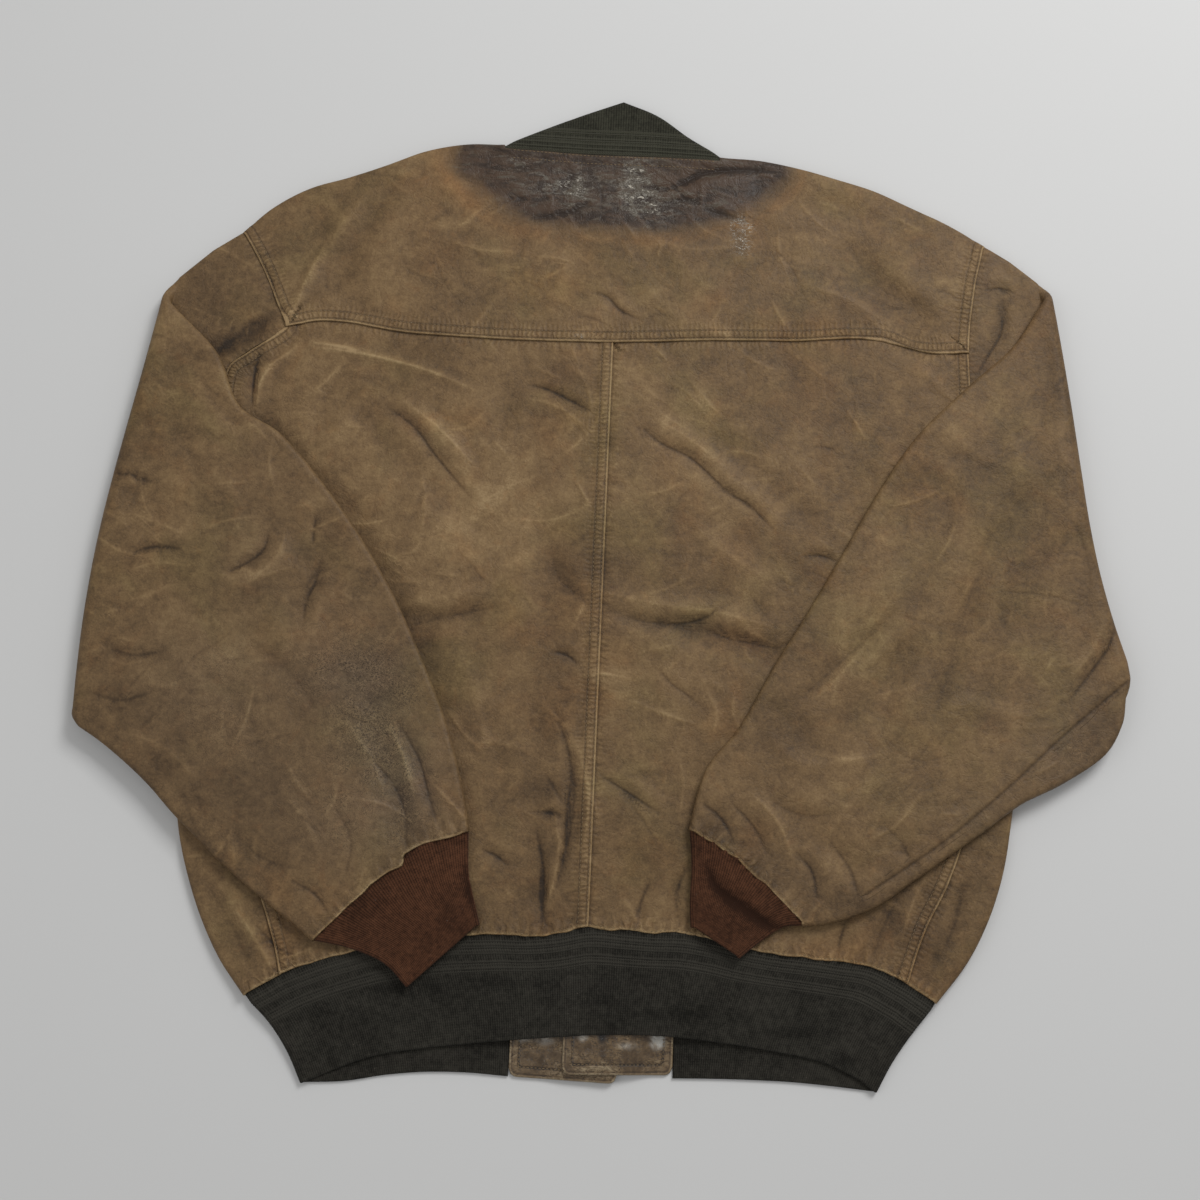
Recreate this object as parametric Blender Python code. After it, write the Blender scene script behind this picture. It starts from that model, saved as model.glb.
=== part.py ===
"""A worn leather blouson with a knitted collar, cuffs and waistband.

It lies face down: the fronts are on the surface, the back lies on them, and both sleeves are folded
over the back.  +Y points to the collar, +X to the wearer's right arm, and z = 0 is the surface below.
"""

import math

import bmesh
import bpy
import numpy as np

for leftover in list(bpy.data.objects):
    bpy.data.objects.remove(leftover)

# Driving dimensions, in metres.
LEATHER = 0.0024  # one wall: the hide with its lining
KNIT = 0.0020  # one wall of the ribbed knit
LAID = 0.0085  # front and back, or the two sides of a sleeve, laid on each other
CLEARANCE = 0.0003  # between layers that rest on each other
SEAM_GAP = 0.0003  # between pieces that are sewn edge to edge
CENTRE = -0.0025  # x of the centre-back seam

FRONT_Z = LEATHER / 2  # middle of a wall that lies on the surface
BACK_Z = LAID - LEATHER / 2  # middle of the back's wall
INSET = LAID / 2  # from an edge's outline to the axis that the wall rolls round
ROLL = INSET - LEATHER / 2  # radius of the wall's middle round that axis
FOLD_RADIUS = LAID / 2 + 0.00055  # the middle of a sleeve where it turns back over itself
SETTLE = 2 * FOLD_RADIUS - LAID - CLEARANCE  # how far the turned layer sinks past its fold ...
SETTLE_REACH = 0.025  # ... over this distance
COLLAR_ROLL = 0.0025
CUFF_ROLL = 0.0022
CUFF_Z = LAID + CLEARANCE + KNIT / 2 + CUFF_ROLL  # middle of a cuff, which lies on the back
COLLAR_SLIT = 0.0008  # between the collar's two ends at the front
BOW_REACH = 0.045  # how far in from the fold a sleeve's bow reaches
ROLL_STEPS = 4  # facets round an edge
FOLD_STEPS = 5  # facets round a sleeve's fold

# Columns and rows of each panel, and where the yoke and the side seams meet the armhole.
HALF_COLUMNS = 10
SHOULDER_COLUMNS = 7
NECK_COLUMNS = 6
SIDE_ROWS = 8
FRONT_COLUMNS = 5
BAND_ROWS = 3
COLLAR_ROWS = 3
TAB_ROWS = 5
ROOT_RINGS = 2  # sections of a sleeve before its fold
ACROSS = 12  # seam stations from one edge of a sleeve to the other
YOKE_STATION = 5
SIDE_STATION = 10

# Armholes between the shoulder and the armpit, x and y of each seam station.
ARMHOLE_LEFT = [
    (-0.2885, 0.2450), (-0.2800, 0.2300), (-0.2725, 0.2145), (-0.2645, 0.1970), (-0.2575, 0.1815),
    (-0.2845, 0.1600), (-0.3015, 0.1400), (-0.2990, 0.0850), (-0.2900, 0.0200), (-0.2860, -0.0350),
    (-0.2980, -0.0680),
]
ARMHOLE_RIGHT = [
    (0.2825, 0.2575), (0.2790, 0.2410), (0.2765, 0.2225), (0.2745, 0.2030), (0.2735, 0.1825),
    (0.2745, 0.1500), (0.2745, 0.1100), (0.2755, 0.0700), (0.2780, 0.0350), (0.2850, 0.0050),
    (0.2965, -0.0180),
]

# Outlines, x and y, seen from above.
SHOULDER_LEFT = [
    (-0.2985, 0.2605), (-0.2715, 0.2865), (-0.2500, 0.2995), (-0.2245, 0.3085), (-0.1945, 0.3200),
    (-0.1425, 0.3405), (-0.1175, 0.3440), (-0.0945, 0.3440),
]
SHOULDER_RIGHT = [
    (0.2865, 0.2725), (0.2615, 0.2875), (0.2345, 0.3005), (0.2035, 0.3145), (0.1555, 0.3285),
    (0.1275, 0.3355), (0.0935, 0.3400), (0.0745, 0.3400),
]
SIDE_LEFT = [
    (-0.3145, -0.0885), (-0.3125, -0.1500), (-0.3075, -0.2005), (-0.2935, -0.2485),
    (-0.2645, -0.3045), (-0.2475, -0.3255),
]
SIDE_RIGHT = [
    (0.3115, -0.0350), (0.3095, -0.1100), (0.3040, -0.1760), (0.2940, -0.2285), (0.2705, -0.2815),
    (0.2485, -0.3105),
]
SIDE_SEAM_LEFT = [
    (-0.2860, -0.0350), (-0.2800, -0.1300), (-0.2630, -0.2100), (-0.2395, -0.2575),
    (-0.2225, -0.3095),
]
SIDE_SEAM_RIGHT = [
    (0.2850, 0.0050), (0.2810, -0.1100), (0.2615, -0.2145), (0.2395, -0.2615), (0.2275, -0.2975),
]
COLLAR_EDGE = [
    (-0.0945, 0.3485), (-0.0540, 0.3645), (-0.0165, 0.3800), (-0.0015, 0.3854), (0.0120, 0.3815),
    (0.0435, 0.3610), (0.0745, 0.3450),
]
BAND_LEFT = [(-0.2475, -0.3255), (-0.2335, -0.3375), (-0.2185, -0.3550), (-0.2025, -0.3841)]
BAND_RIGHT = [(0.2485, -0.3105), (0.2340, -0.3285), (0.2205, -0.3475), (0.2065, -0.3735)]

# Seams and hems that run across the jacket: the y at each x.
YOKE_SEAM = [
    (-0.2575, 0.1815), (-0.2315, 0.1875), (-0.2155, 0.1875), (-0.1685, 0.1815), (-0.0905, 0.1785),
    (-0.0025, 0.1795), (0.0645, 0.1835), (0.1415, 0.1865), (0.1885, 0.1905), (0.2075, 0.1900),
    (0.2305, 0.1825), (0.2735, 0.1825),
]
NECK_SEAM = [(-0.0945, 0.33975), (-0.0355, 0.3375), (0.0285, 0.3370), (0.0745, 0.33575)]
FRONT_NECK = [
    (-0.0945, 0.33975), (-0.0750, 0.3050), (-0.0450, 0.2790), (-0.0025, 0.2680), (0.0400, 0.2790),
    (0.0620, 0.3030), (0.0745, 0.33575),
]
HEM_BACK = [
    (-0.2475, -0.3255), (-0.2225, -0.3095), (-0.1865, -0.2955), (-0.1515, -0.2840),
    (-0.0805, -0.2755), (-0.0315, -0.2735), (-0.0025, -0.2670), (0.0345, -0.2690),
    (0.0705, -0.2690), (0.1215, -0.2785), (0.1785, -0.2835), (0.2075, -0.2875),
    (0.2275, -0.2975), (0.2485, -0.3105),
]
HEM_FRONT = [
    (-0.2475, -0.3255), (-0.1700, -0.3000), (-0.0555, -0.2920), (0.0615, -0.2900),
    (0.1700, -0.2940), (0.2485, -0.3105),
]
BAND_EDGE_BACK = [
    (-0.2025, -0.3841), (-0.1815, -0.3745), (-0.1535, -0.3635), (-0.1185, -0.3565),
    (-0.0765, -0.3505), (-0.0335, -0.3455), (0.0085, -0.3415), (0.0515, -0.3405),
    (0.0945, -0.3435), (0.1365, -0.3485), (0.1725, -0.3555), (0.1930, -0.3645), (0.2065, -0.3735),
]
BAND_EDGE_FRONT = [
    (-0.2025, -0.3841), (-0.1845, -0.3835), (-0.1605, -0.3785), (-0.0965, -0.3715),
    (-0.0555, -0.3730), (0.0615, -0.3695), (0.0955, -0.3685), (0.1735, -0.3700),
    (0.2065, -0.3735),
]
BAND_EDGE_HEIGHT = [
    (-0.2025, 0.0036), (-0.1400, 0.0036), (-0.0900, 0.0046), (-0.0555, 0.0062), (-0.0200, 0.0086),
    (0.0250, 0.0087), (0.0600, 0.0066), (0.0900, 0.0048), (0.1400, 0.0036), (0.2065, 0.0036),
]

# The front closes left over right: where each front and its waist tab end, and the button below.
OVERLAP_RISE = LEATHER + CLEARANCE
NECK_X = np.append(
    np.linspace(NECK_SEAM[0][0], CENTRE, NECK_COLUMNS // 2 + 1),
    np.linspace(CENTRE, NECK_SEAM[-1][0], NECK_COLUMNS // 2 + 1)[1:],
)
STEP_TOP, STEP_FOOT = NECK_X[4:6]  # the right front steps down from the left one between these x
TAB_LEFT_X = [-0.0555, -0.0430, -0.0300, -0.0175, -0.0025, 0.0105, 0.0220]
TAB_RIGHT_X = [-0.0175, -0.0025, 0.0105, STEP_TOP, 0.0360, STEP_FOOT, 0.0615]
TAB_LEFT_END = (-0.3730, -0.3750)  # y of the tab's lower corners
TAB_RIGHT_END = (-0.3700, -0.3675)
BUTTON_AT = (0.0065, -0.3455)
BUTTON_RADIUS = 0.0085
BUTTON_THICK = 0.0018
BUTTON_FACETS = 20
RIM = 0.0005
BUTTON_RISE = BUTTON_THICK + CLEARANCE
BUTTON_LIFT = [(-0.2900, 0.0), (-0.3080, 0.35), (-0.3270, 1.0), (-0.3800, 1.0)]  # share, over y
BUTTON_REACH = [(-0.0555, 0.0), (-0.0300, 0.0), (-0.0175, 0.6), (-0.0025, 1.0), (0.0615, 1.0)]

# Each sleeve: its fold line's two ends before it turns, how far its two edges slip along the fold
# as they turn, how far the fold bows out and how late along it, how far the sleeve's head swells
# out between the shoulder and the fold, and how far the cuff seam dips.
SLEEVE_LEFT = {
    "fold": [(-0.3440, 0.2220), (-0.3820, -0.1240)], "slip": (0.026, 0.014), "bow": 0.009,
    "late": 1.5, "swell": 0.0030, "seam_dip": 0.007,
}
SLEEVE_RIGHT = {
    "fold": [(0.3262, 0.2450), (0.3808, -0.0580)], "slip": (0.020, 0.030), "bow": -0.007,
    "late": 2.0, "swell": 0.0020, "seam_dip": 0.004,
}
# Sections of the folded-over sleeves, from fold to cuff: upper edge x, y and lower edge x, y.
SECTIONS_LEFT = [
    (-0.3080, 0.1570, -0.3670, -0.1480), (-0.2870, 0.1150, -0.3480, -0.1620),
    (-0.2535, 0.0935, -0.3290, -0.1780), (-0.2200, 0.0580, -0.3090, -0.1980),
    (-0.1870, 0.0155, -0.2910, -0.2140), (-0.1580, -0.0300, -0.2720, -0.2310),
    (-0.1340, -0.0770, -0.2530, -0.2460), (-0.1130, -0.1240, -0.2340, -0.2600),
    (-0.0985, -0.1700, -0.2160, -0.2730), (-0.0915, -0.2025, -0.1995, -0.2855),
]
SECTIONS_RIGHT = [
    (0.3060, 0.1870, 0.3835, -0.1050), (0.2725, 0.1545, 0.3700, -0.1280),
    (0.2335, 0.1135, 0.3390, -0.1500), (0.2035, 0.0675, 0.3090, -0.1660),
    (0.1775, 0.0195, 0.2830, -0.1860), (0.1520, -0.0270, 0.2560, -0.2060),
    (0.1270, -0.0700, 0.2290, -0.2260), (0.1025, -0.1165, 0.2040, -0.2440),
    (0.0780, -0.1500, 0.1775, -0.2550), (0.0665, -0.1945, 0.1505, -0.2605),
]
CUFF_LEFT = [
    (-0.0910, -0.2295, -0.1720, -0.2890), (-0.0875, -0.2445, -0.1475, -0.2985),
    (-0.0805, -0.2685, -0.1305, -0.3145),
]
CUFF_RIGHT = [
    (0.0700, -0.2200, 0.1370, -0.2610), (0.0695, -0.2450, 0.1210, -0.2720),
    (0.0705, -0.2640, 0.1060, -0.2845),
]

# Large folds: from x, y to x, y, half width, and depth below the plane of the cloth.
LAID_FOLDS = [
    (-0.047, 0.030, -0.040, -0.040, 0.014, 0.0022),
    (-0.205, 0.125, -0.100, 0.030, 0.013, 0.0020),
    (0.070, -0.045, 0.150, -0.070, 0.013, 0.0026),
    (0.085, 0.100, 0.150, 0.045, 0.012, 0.0016),
    (0.180, 0.260, 0.235, 0.198, 0.015, 0.0028),
    (-0.240, 0.262, -0.205, 0.205, 0.016, 0.0022),
    (-0.045, -0.125, -0.043, -0.245, 0.012, 0.0020),
    (0.110, 0.315, 0.200, 0.290, 0.012, 0.0014),
    (-0.330, 0.150, -0.280, 0.178, 0.012, 0.0022),
]
TURNED_FOLDS = [
    (-0.355, 0.040, -0.240, 0.020, 0.015, 0.0020),
    (-0.215, 0.020, -0.228, -0.045, 0.013, 0.0018),
    (-0.165, -0.110, -0.140, -0.205, 0.013, 0.0022),
    (0.315, 0.060, 0.275, -0.070, 0.016, 0.0024),
    (0.225, -0.060, 0.165, -0.130, 0.013, 0.0020),
    (0.150, -0.185, 0.190, -0.215, 0.011, 0.0018),
]
FOLD_DEPTH_MOST = 0.0030

COLOURS = {
    "leather": (0.150, 0.100, 0.055), "tab_leather": (0.095, 0.067, 0.043),
    "knit": (0.026, 0.027, 0.021), "cuff_knit": (0.045, 0.020, 0.012), "button": (0.030, 0.022, 0.016),
}


def smooth(table, at):
    """Values between a table's rows, keyed by its first column, with slopes from the neighbours."""
    rows = np.array(table, float)
    keys, values = rows[:, 0], rows[:, 1:]
    slopes = np.gradient(values, keys, axis=0)
    at = np.asarray(at, float)
    i = np.clip(np.searchsorted(keys, at, side="right") - 1, 0, len(keys) - 2)
    span = (keys[i + 1] - keys[i])[:, None]
    t = (at[:, None] - keys[i][:, None]) / span
    start = (2 * t**3 - 3 * t**2 + 1) * values[i] + (t**3 - 2 * t**2 + t) * span * slopes[i]
    return start + (3 * t**2 - 2 * t**3) * values[i + 1] + (t**3 - t**2) * span * slopes[i + 1]


def across(table, xs):
    """Points of a seam or hem at the given x."""
    return np.column_stack([xs, smooth(table, xs)[:, 0]])


def curve(points, steps):
    """Evenly spaced points on the smooth curve through a short list of points."""
    points = np.array(points, float)
    chord = np.append(0, np.cumsum(np.linalg.norm(np.diff(points, axis=0), axis=1)))
    fine = smooth(np.column_stack([chord, points]), np.linspace(0, chord[-1], 40 * steps))
    length = np.append(0, np.cumsum(np.linalg.norm(np.diff(fine, axis=0), axis=1)))
    stations = np.linspace(0, length[-1], steps + 1)
    return np.column_stack([np.interp(stations, length, fine[:, i]) for i in range(2)])


def mitres(outline, side):
    """Outward offset of each inner point of an outline for an offset of one; side is 1 if the
    outside is on the left of the outline's direction and -1 if it is on the right."""
    step = np.diff(outline, axis=0)
    step /= np.linalg.norm(step, axis=1)[:, None]
    normal = side * np.column_stack([-step[:, 1], step[:, 0]])
    before, after = normal[:-1], normal[1:]
    return (before + after) / (1 + (before * after).sum(axis=1))[:, None]


def patch(top, bottom, left, right):
    """A grid that fills four edges (a Coons patch); its corners are the edges' ends."""
    u = np.linspace(0, 1, len(top))[None, :, None]
    v = np.linspace(0, 1, len(left))[:, None, None]
    rows = (1 - v) * top[None] + v * bottom[None]
    columns = (1 - u) * left[:, None] + u * right[:, None]
    corners = (1 - v) * ((1 - u) * top[0] + u * top[-1]) + v * ((1 - u) * bottom[0] + u * bottom[-1])
    return rows + columns - corners


def raised(plan, z):
    """A plan grid or line with its heights added."""
    return np.concatenate([plan, np.broadcast_to(z, plan.shape[:-1])[..., None]], axis=-1)


def hollow(plan, table):
    """Depth of the large folds at each point: a soft trough along each row's line."""
    depth = np.zeros(plan.shape[:-1])
    for x0, y0, x1, y1, width, deep in table:
        start, run = np.array([x0, y0]), np.array([x1 - x0, y1 - y0])
        t = np.clip(((plan - start) @ run) / (run @ run), 0, 1)
        away = np.linalg.norm(plan - start - t[..., None] * run, axis=-1)
        depth += deep * np.exp(-((away / width) ** 2))
    return np.minimum(depth, FOLD_DEPTH_MOST)


def back_height(plan):
    """Middle of the back's wall above the surface."""
    return BACK_Z - hollow(plan, LAID_FOLDS)


def rolled(axis, outward, top, bottom, radius=ROLL):
    """Rows of a wall that rolls from height top over an edge to height bottom, round the axis."""
    turn = np.linspace(math.pi / 2, -math.pi / 2, ROLL_STEPS + 1)[:, None]
    reach = radius * np.cos(turn)[..., None] * outward[None]
    height = (top + bottom) / 2 + (top - bottom) / 2 * np.sin(turn)
    return raised(axis[None] + reach, height)


def material(name):
    """The plain finish of a material."""
    made = bpy.data.materials.get(name)
    if made is None:
        made = bpy.data.materials.new(name)
        made.use_nodes = True
        shader = made.node_tree.nodes["Principled BSDF"]
        shader.inputs["Base Color"].default_value = (*COLOURS[name], 1)
        shader.inputs["Roughness"].default_value = 0.6
        shader.inputs["Metallic"].default_value = 0
    return made


def cloth(name, finish, wall, grids=(), faces=(), closed=False):
    """Notes a sewn piece: the middle surface of its wall, from grids and flat faces of points.
    closed joins the last column of a grid to its first."""
    polygons = list(faces)
    for grid in grids:
        columns = grid.shape[1]
        for j in range(columns if closed else columns - 1):
            near, far = grid[:, j], grid[:, (j + 1) % columns]
            polygons += [np.array(quad) for quad in zip(near[:-1], near[1:], far[1:], far[:-1])]
    pieces.append((name, finish, wall, polygons))


def wall_offset(vert):
    """The shortest move of a corner that moves every face round it outwards by one."""
    normals = np.array([face.normal for face in vert.link_faces])
    return np.linalg.pinv(normals, rcond=0.1) @ np.ones(len(normals))


def seam_pulls(faces):
    """For each corner on a piece's edge, the move along its surface that draws the edge in by one."""
    pulls, rim = {}, []
    for face in faces:
        for loop in face.loops:
            if sum(other in faces for other in loop.edge.link_faces) == 1:
                start, end = loop.vert, loop.link_loop_next.vert
                pull = face.normal.cross(end.co - start.co).normalized()
                rim.append((start, end))
                pulls.setdefault(start, []).append(pull)
                pulls.setdefault(end, []).append(pull)
    moves = {
        vert: (first + second) / max(1 + first.dot(second), 0.3)
        for vert, (first, second) in pulls.items()
    }
    return moves, rim


def sew():
    """Makes every noted piece a solid wall.  The walls are set off from one surface that all pieces
    share, so that they meet in the plane of their seam, and each edge is then drawn in a little."""
    bm = bmesh.new()
    for number, (_, _, _, polygons) in enumerate(pieces):
        for polygon in polygons:
            bm.faces.new([bm.verts.new(point) for point in polygon]).material_index = number
    bmesh.ops.remove_doubles(bm, verts=bm.verts, dist=2e-6)
    bmesh.ops.recalc_face_normals(bm, faces=bm.faces)
    bm.normal_update()
    offsets = {vert: wall_offset(vert) for vert in bm.verts}
    for number, (name, finish, wall, _) in enumerate(pieces):
        faces = {face for face in bm.faces if face.material_index == number}
        moves, rim = seam_pulls(faces)
        solid = bmesh.new()
        outer, inner = {}, {}
        for vert in {vert for face in faces for vert in face.verts}:
            middle = np.array(vert.co) + SEAM_GAP / 2 * np.array(moves.get(vert, (0, 0, 0)))
            for corners, way in ((outer, 1), (inner, -1)):
                point = middle + way * wall / 2 * offsets[vert]
                corners[vert] = solid.verts.new((point[0], point[1], max(point[2], 0)))
        for face in faces:
            solid.faces.new([outer[vert] for vert in face.verts])
            solid.faces.new([inner[vert] for vert in reversed(face.verts)])
        for start, end in rim:
            solid.faces.new([outer[end], outer[start], inner[start], inner[end]])
        add_object(name, finish, solid)
    bm.free()


def add_object(name, finish, bm):
    """An object with a material and its flat and rounded faces shaded as such."""
    mesh = bpy.data.meshes.new(name)
    bm.to_mesh(mesh)
    bm.free()
    mesh.materials.append(material(finish))
    mesh.shade_smooth()
    mesh.set_sharp_from_angle(angle=math.radians(50))
    bpy.context.scene.collection.objects.link(bpy.data.objects.new(name, mesh))


def body_side(armhole, shoulder, side, side_seam, band, sleeve, turn):
    """The seam lines of one side of the body, with the axis and outward offset of each rolled
    edge.  turn is -1 for the left side and 1 for the right."""
    shoulder = curve(shoulder, SHOULDER_COLUMNS)
    side = curve(side, SIDE_ROWS)
    band = curve(band, BAND_ROWS)
    fold_top, fold_foot = np.array(sleeve["fold"])
    over = mitres(np.vstack([fold_top, shoulder, 2 * shoulder[-1] - shoulder[-2]]), -turn)
    down = mitres(np.vstack([fold_foot, side, band[1]]), turn)
    round_band = mitres(np.vstack([side[-2], band, 2 * band[-1] - band[-2]]), turn)
    axis = side - INSET * down
    seam = curve(side_seam, SIDE_ROWS)
    seam[-1] = across(HEM_BACK, seam[-1:, 0])[0]
    hole = np.vstack([shoulder[0] - INSET * over[0], armhole, axis[0]])
    return {
        "armhole": hole, "shoulder": shoulder, "shoulder_out": over,
        "shoulder_axis": shoulder - INSET * over, "side": side, "side_out": down,
        "side_axis": axis, "side_seam": seam, "band": band, "band_out": round_band,
        "turn": turn,
    }


def fold_over(plan, zeta, sleeve, turn):
    """Turns a flat sleeve back over itself along its fold line.  plan is where a point lies while
    the sleeve is stretched out, and zeta its height above the sleeve's middle."""
    top, foot = np.array(sleeve["fold"])
    length = np.linalg.norm(foot - top)
    along = (foot - top) / length
    outward = turn * np.array([-along[1], along[0]])
    past = (plan - top) @ outward
    angle = np.clip(past / FOLD_RADIUS, 0, math.pi)
    reach = np.minimum(past, 0) + (FOLD_RADIUS - zeta) * np.sin(angle)
    reach -= np.maximum(past - math.pi * FOLD_RADIUS, 0)
    height = INSET + FOLD_RADIUS - (FOLD_RADIUS - zeta) * np.cos(angle)
    settled = np.clip((past - math.pi * FOLD_RADIUS) / SETTLE_REACH, 0, 1)
    height -= SETTLE * settled**2 * (3 - 2 * settled)
    station = np.clip(((plan - top) @ along) / length, 0, 1)
    near = (1 - np.clip(-reach / BOW_REACH, 0, 1) ** 2) ** 2
    reach += sleeve["bow"] * np.sin(math.pi * station ** sleeve["late"]) * near
    foot_points = plan - past[..., None] * outward
    return raised(foot_points + reach[..., None] * outward, height)


def ring(flat, top_axis, top_out, foot_axis, foot_out, upper, lower, radius):
    """One closed section of a flattened tube: along its upper wall, round its lower edge, back
    along its lower wall and round its upper edge.  Returns the plan and the heights."""
    turn = np.linspace(math.pi / 2, -math.pi / 2, ROLL_STEPS + 1)[1:-1, None]
    round_foot = foot_axis + radius * np.cos(turn) * foot_out
    round_top = top_axis + radius * np.cos(turn) * top_out
    foot_height = (upper[-1] + lower[-1]) / 2 + (upper[-1] - lower[-1]) / 2 * np.sin(turn[:, 0])
    top_height = (upper[0] + lower[0]) / 2 - (upper[0] - lower[0]) / 2 * np.sin(turn[:, 0])
    plan = np.vstack([flat, round_foot, flat[::-1], round_top])
    return plan, np.concatenate([upper, foot_height, lower[::-1], top_height])


def sleeve_rings(side, sleeve, sections):
    """The sleeve's sections from the armhole, round the fold and down to the cuff seam."""
    turn = side["turn"]
    fold_top, fold_foot = np.array(sleeve["fold"])
    along = (fold_foot - fold_top) / np.linalg.norm(fold_foot - fold_top)
    outward = turn * np.array([-along[1], along[0]])
    arc = math.pi * FOLD_RADIUS
    root = np.linspace(0, 1, ROOT_RINGS + 1)[:, None]
    bend = np.linspace(0, 1, FOLD_STEPS + 1)[1:, None]
    sections = np.array(sections)
    edges = []
    head = -along
    for corner, fold_end, slip, swell, pair in (
        (side["shoulder"][0], fold_top, sleeve["slip"][0], sleeve["swell"], sections[:, :2]),
        (side["side"][0], fold_foot, sleeve["slip"][1], 0, sections[:, 2:]),
    ):
        inside = -(pair - fold_top) @ outward
        stretched = pair + (arc + 2 * inside)[:, None] * outward
        rooted = (1 - root) * corner + root * fold_end + swell * np.sin(math.pi * root) * head
        edges.append(np.vstack([rooted, fold_end + bend * (slip * along + arc * outward), stretched]))
    top, foot = edges
    top_out = mitres(np.vstack([side["shoulder"][1], top, 2 * top[-1] - top[-2]]), turn)
    foot_out = mitres(np.vstack([side["side"][1], foot, 2 * foot[-1] - foot[-2]]), -turn)
    for out, way in ((top_out, -along), (foot_out, along)):
        bent = out[ROOT_RINGS : ROOT_RINGS + FOLD_STEPS + 1]
        bent[:] = way * (np.linalg.norm(bent, axis=1) / (bent @ way))[:, None]
    top_axis, foot_axis = top - INSET * top_out, foot - INSET * foot_out
    hole = side["armhole"]
    share = np.append(0, np.cumsum(np.linalg.norm(np.diff(hole, axis=0), axis=1)))
    share = (share / share[-1])[:, None]
    curl = hole - ((1 - share) * hole[0] + share * hole[-1])
    rings = []
    for i in range(len(top)):
        flat = (1 - share) * top_axis[i] + share * foot_axis[i] + max(1 - i / ROOT_RINGS, 0) * curl
        if i == len(top) - 1:
            back = (top_axis[i - 1] + foot_axis[i - 1]) / 2 - flat.mean(axis=0)
            flat = flat + sleeve["seam_dip"] * np.sin(math.pi * share) * back / np.linalg.norm(back)
        lies = fold_over(flat, np.zeros(len(flat)), sleeve, turn)[:, :2]
        upper, lower = np.full(len(flat), ROLL), np.full(len(flat), -ROLL)
        if i <= ROOT_RINGS:
            upper -= hollow(lies, LAID_FOLDS)
        if i >= ROOT_RINGS + FOLD_STEPS:
            lower += hollow(lies, TURNED_FOLDS)
        plan, zeta = ring(
            flat, top_axis[i], top_out[i], foot_axis[i], foot_out[i], upper, lower, ROLL
        )
        rings.append(fold_over(plan, zeta, sleeve, turn))
    return np.array(rings)


def cuff_rings(first, sections, cuff, turn):
    """The cuff's sections from the sleeve's last one to the cuff's open end."""
    rows = np.array([sections[-1], *cuff])
    share = np.linspace(0, 1, ACROSS + 1)[:, None]
    edges = [rows[:, :2], rows[:, 2:]]
    outs = [
        mitres(np.vstack([np.array(sections[-2])[cut], edge, 2 * edge[-1] - edge[-2]]), sign)
        for edge, cut, sign in zip(edges, (slice(0, 2), slice(2, 4)), (-turn, turn))
    ]
    rings = [first]
    for i in range(1, len(rows)):
        inset = CUFF_ROLL + KNIT / 2
        top_axis, foot_axis = edges[0][i] - inset * outs[0][i], edges[1][i] - inset * outs[1][i]
        flat = (1 - share) * top_axis + share * foot_axis
        under = np.full(len(flat), CUFF_Z - CUFF_ROLL)
        over = np.full(len(flat), CUFF_Z + CUFF_ROLL)
        plan, height = ring(
            flat, top_axis, outs[0][i], foot_axis, outs[1][i], under, over, CUFF_ROLL
        )
        rings.append(raised(plan, height))
    return np.array(rings)


def half_across(table, outer_x):
    """Points of a seam or hem from a side of the jacket to the centre back."""
    return across(table, np.linspace(outer_x, CENTRE, HALF_COLUMNS + 1))


def both_halves(table, left_x, right_x):
    """Points of a seam or hem from the left side to the right one."""
    return np.vstack([half_across(table, left_x), half_across(table, right_x)[-2::-1]])


def make_yoke(left, right):
    """The yoke: from the yoke seam to the neck, and over both shoulders to the fronts."""
    neck = across(NECK_SEAM, NECK_X)
    top = np.vstack([left["shoulder_axis"], neck[1:-1], right["shoulder_axis"][::-1]])
    seam = both_halves(
        YOKE_SEAM, left["armhole"][YOKE_STATION][0], right["armhole"][YOKE_STATION][0]
    )
    holes = [side["armhole"][: YOKE_STATION + 1] for side in (left, right)]
    plan = patch(top, seam, *holes)
    over = [
        rolled(s["shoulder_axis"], s["shoulder_out"], back_height(s["shoulder_axis"]), FRONT_Z)
        for s in (left, right)
    ]
    cloth("back_yoke", "leather", LEATHER, [raised(plan, back_height(plan)), *over])


def make_back(name, side):
    """Half of the back, from the centre seam to the armhole and the side seam."""
    hole = side["armhole"]
    top = half_across(YOKE_SEAM, hole[YOKE_STATION][0])
    hem = half_across(HEM_BACK, side["side_seam"][-1][0])
    outer = np.vstack([hole[YOKE_STATION : SIDE_STATION + 1], side["side_seam"][1:]])
    middle = np.linspace(top[-1], hem[-1], len(outer))
    plan = patch(top, hem, outer, middle)
    cloth(name, "leather", LEATHER, [raised(plan, back_height(plan))])


def side_strip(side):
    """Where a front comes round the side: the strip up to the side seam, and the rolled edge."""
    seam, axis = side["side_seam"], side["side_axis"]
    middle = (seam + axis) / 2
    middle[0] = side["armhole"][SIDE_STATION + 1]
    strip = np.stack([seam, middle, axis], axis=1)
    return [
        raised(strip, back_height(strip)),
        rolled(axis, side["side_out"], back_height(axis), FRONT_Z),
    ]


def hem_of_front(side, tab_x):
    """The front's hem from its waist tab to the side."""
    inner = across(HEM_FRONT, np.linspace(tab_x, side["side_axis"][-1][0], FRONT_COLUMNS + 1))
    inner[-1] = side["side_axis"][-1]
    return inner


def front_outline(side, tab_x):
    """The front's edge from its waist tab round the side, armhole and shoulder to the neck."""
    hem = hem_of_front(side, tab_x)
    return np.vstack([
        hem, side["side_axis"][-2::-1], side["armhole"][-2:0:-1], side["shoulder_axis"],
    ])


def overlap_height(xs):
    """Middle of the right front's wall: on the left front, down the step, on the surface."""
    return FRONT_Z + OVERLAP_RISE * np.interp(xs, [STEP_TOP, STEP_FOOT], [1, 0])


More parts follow.
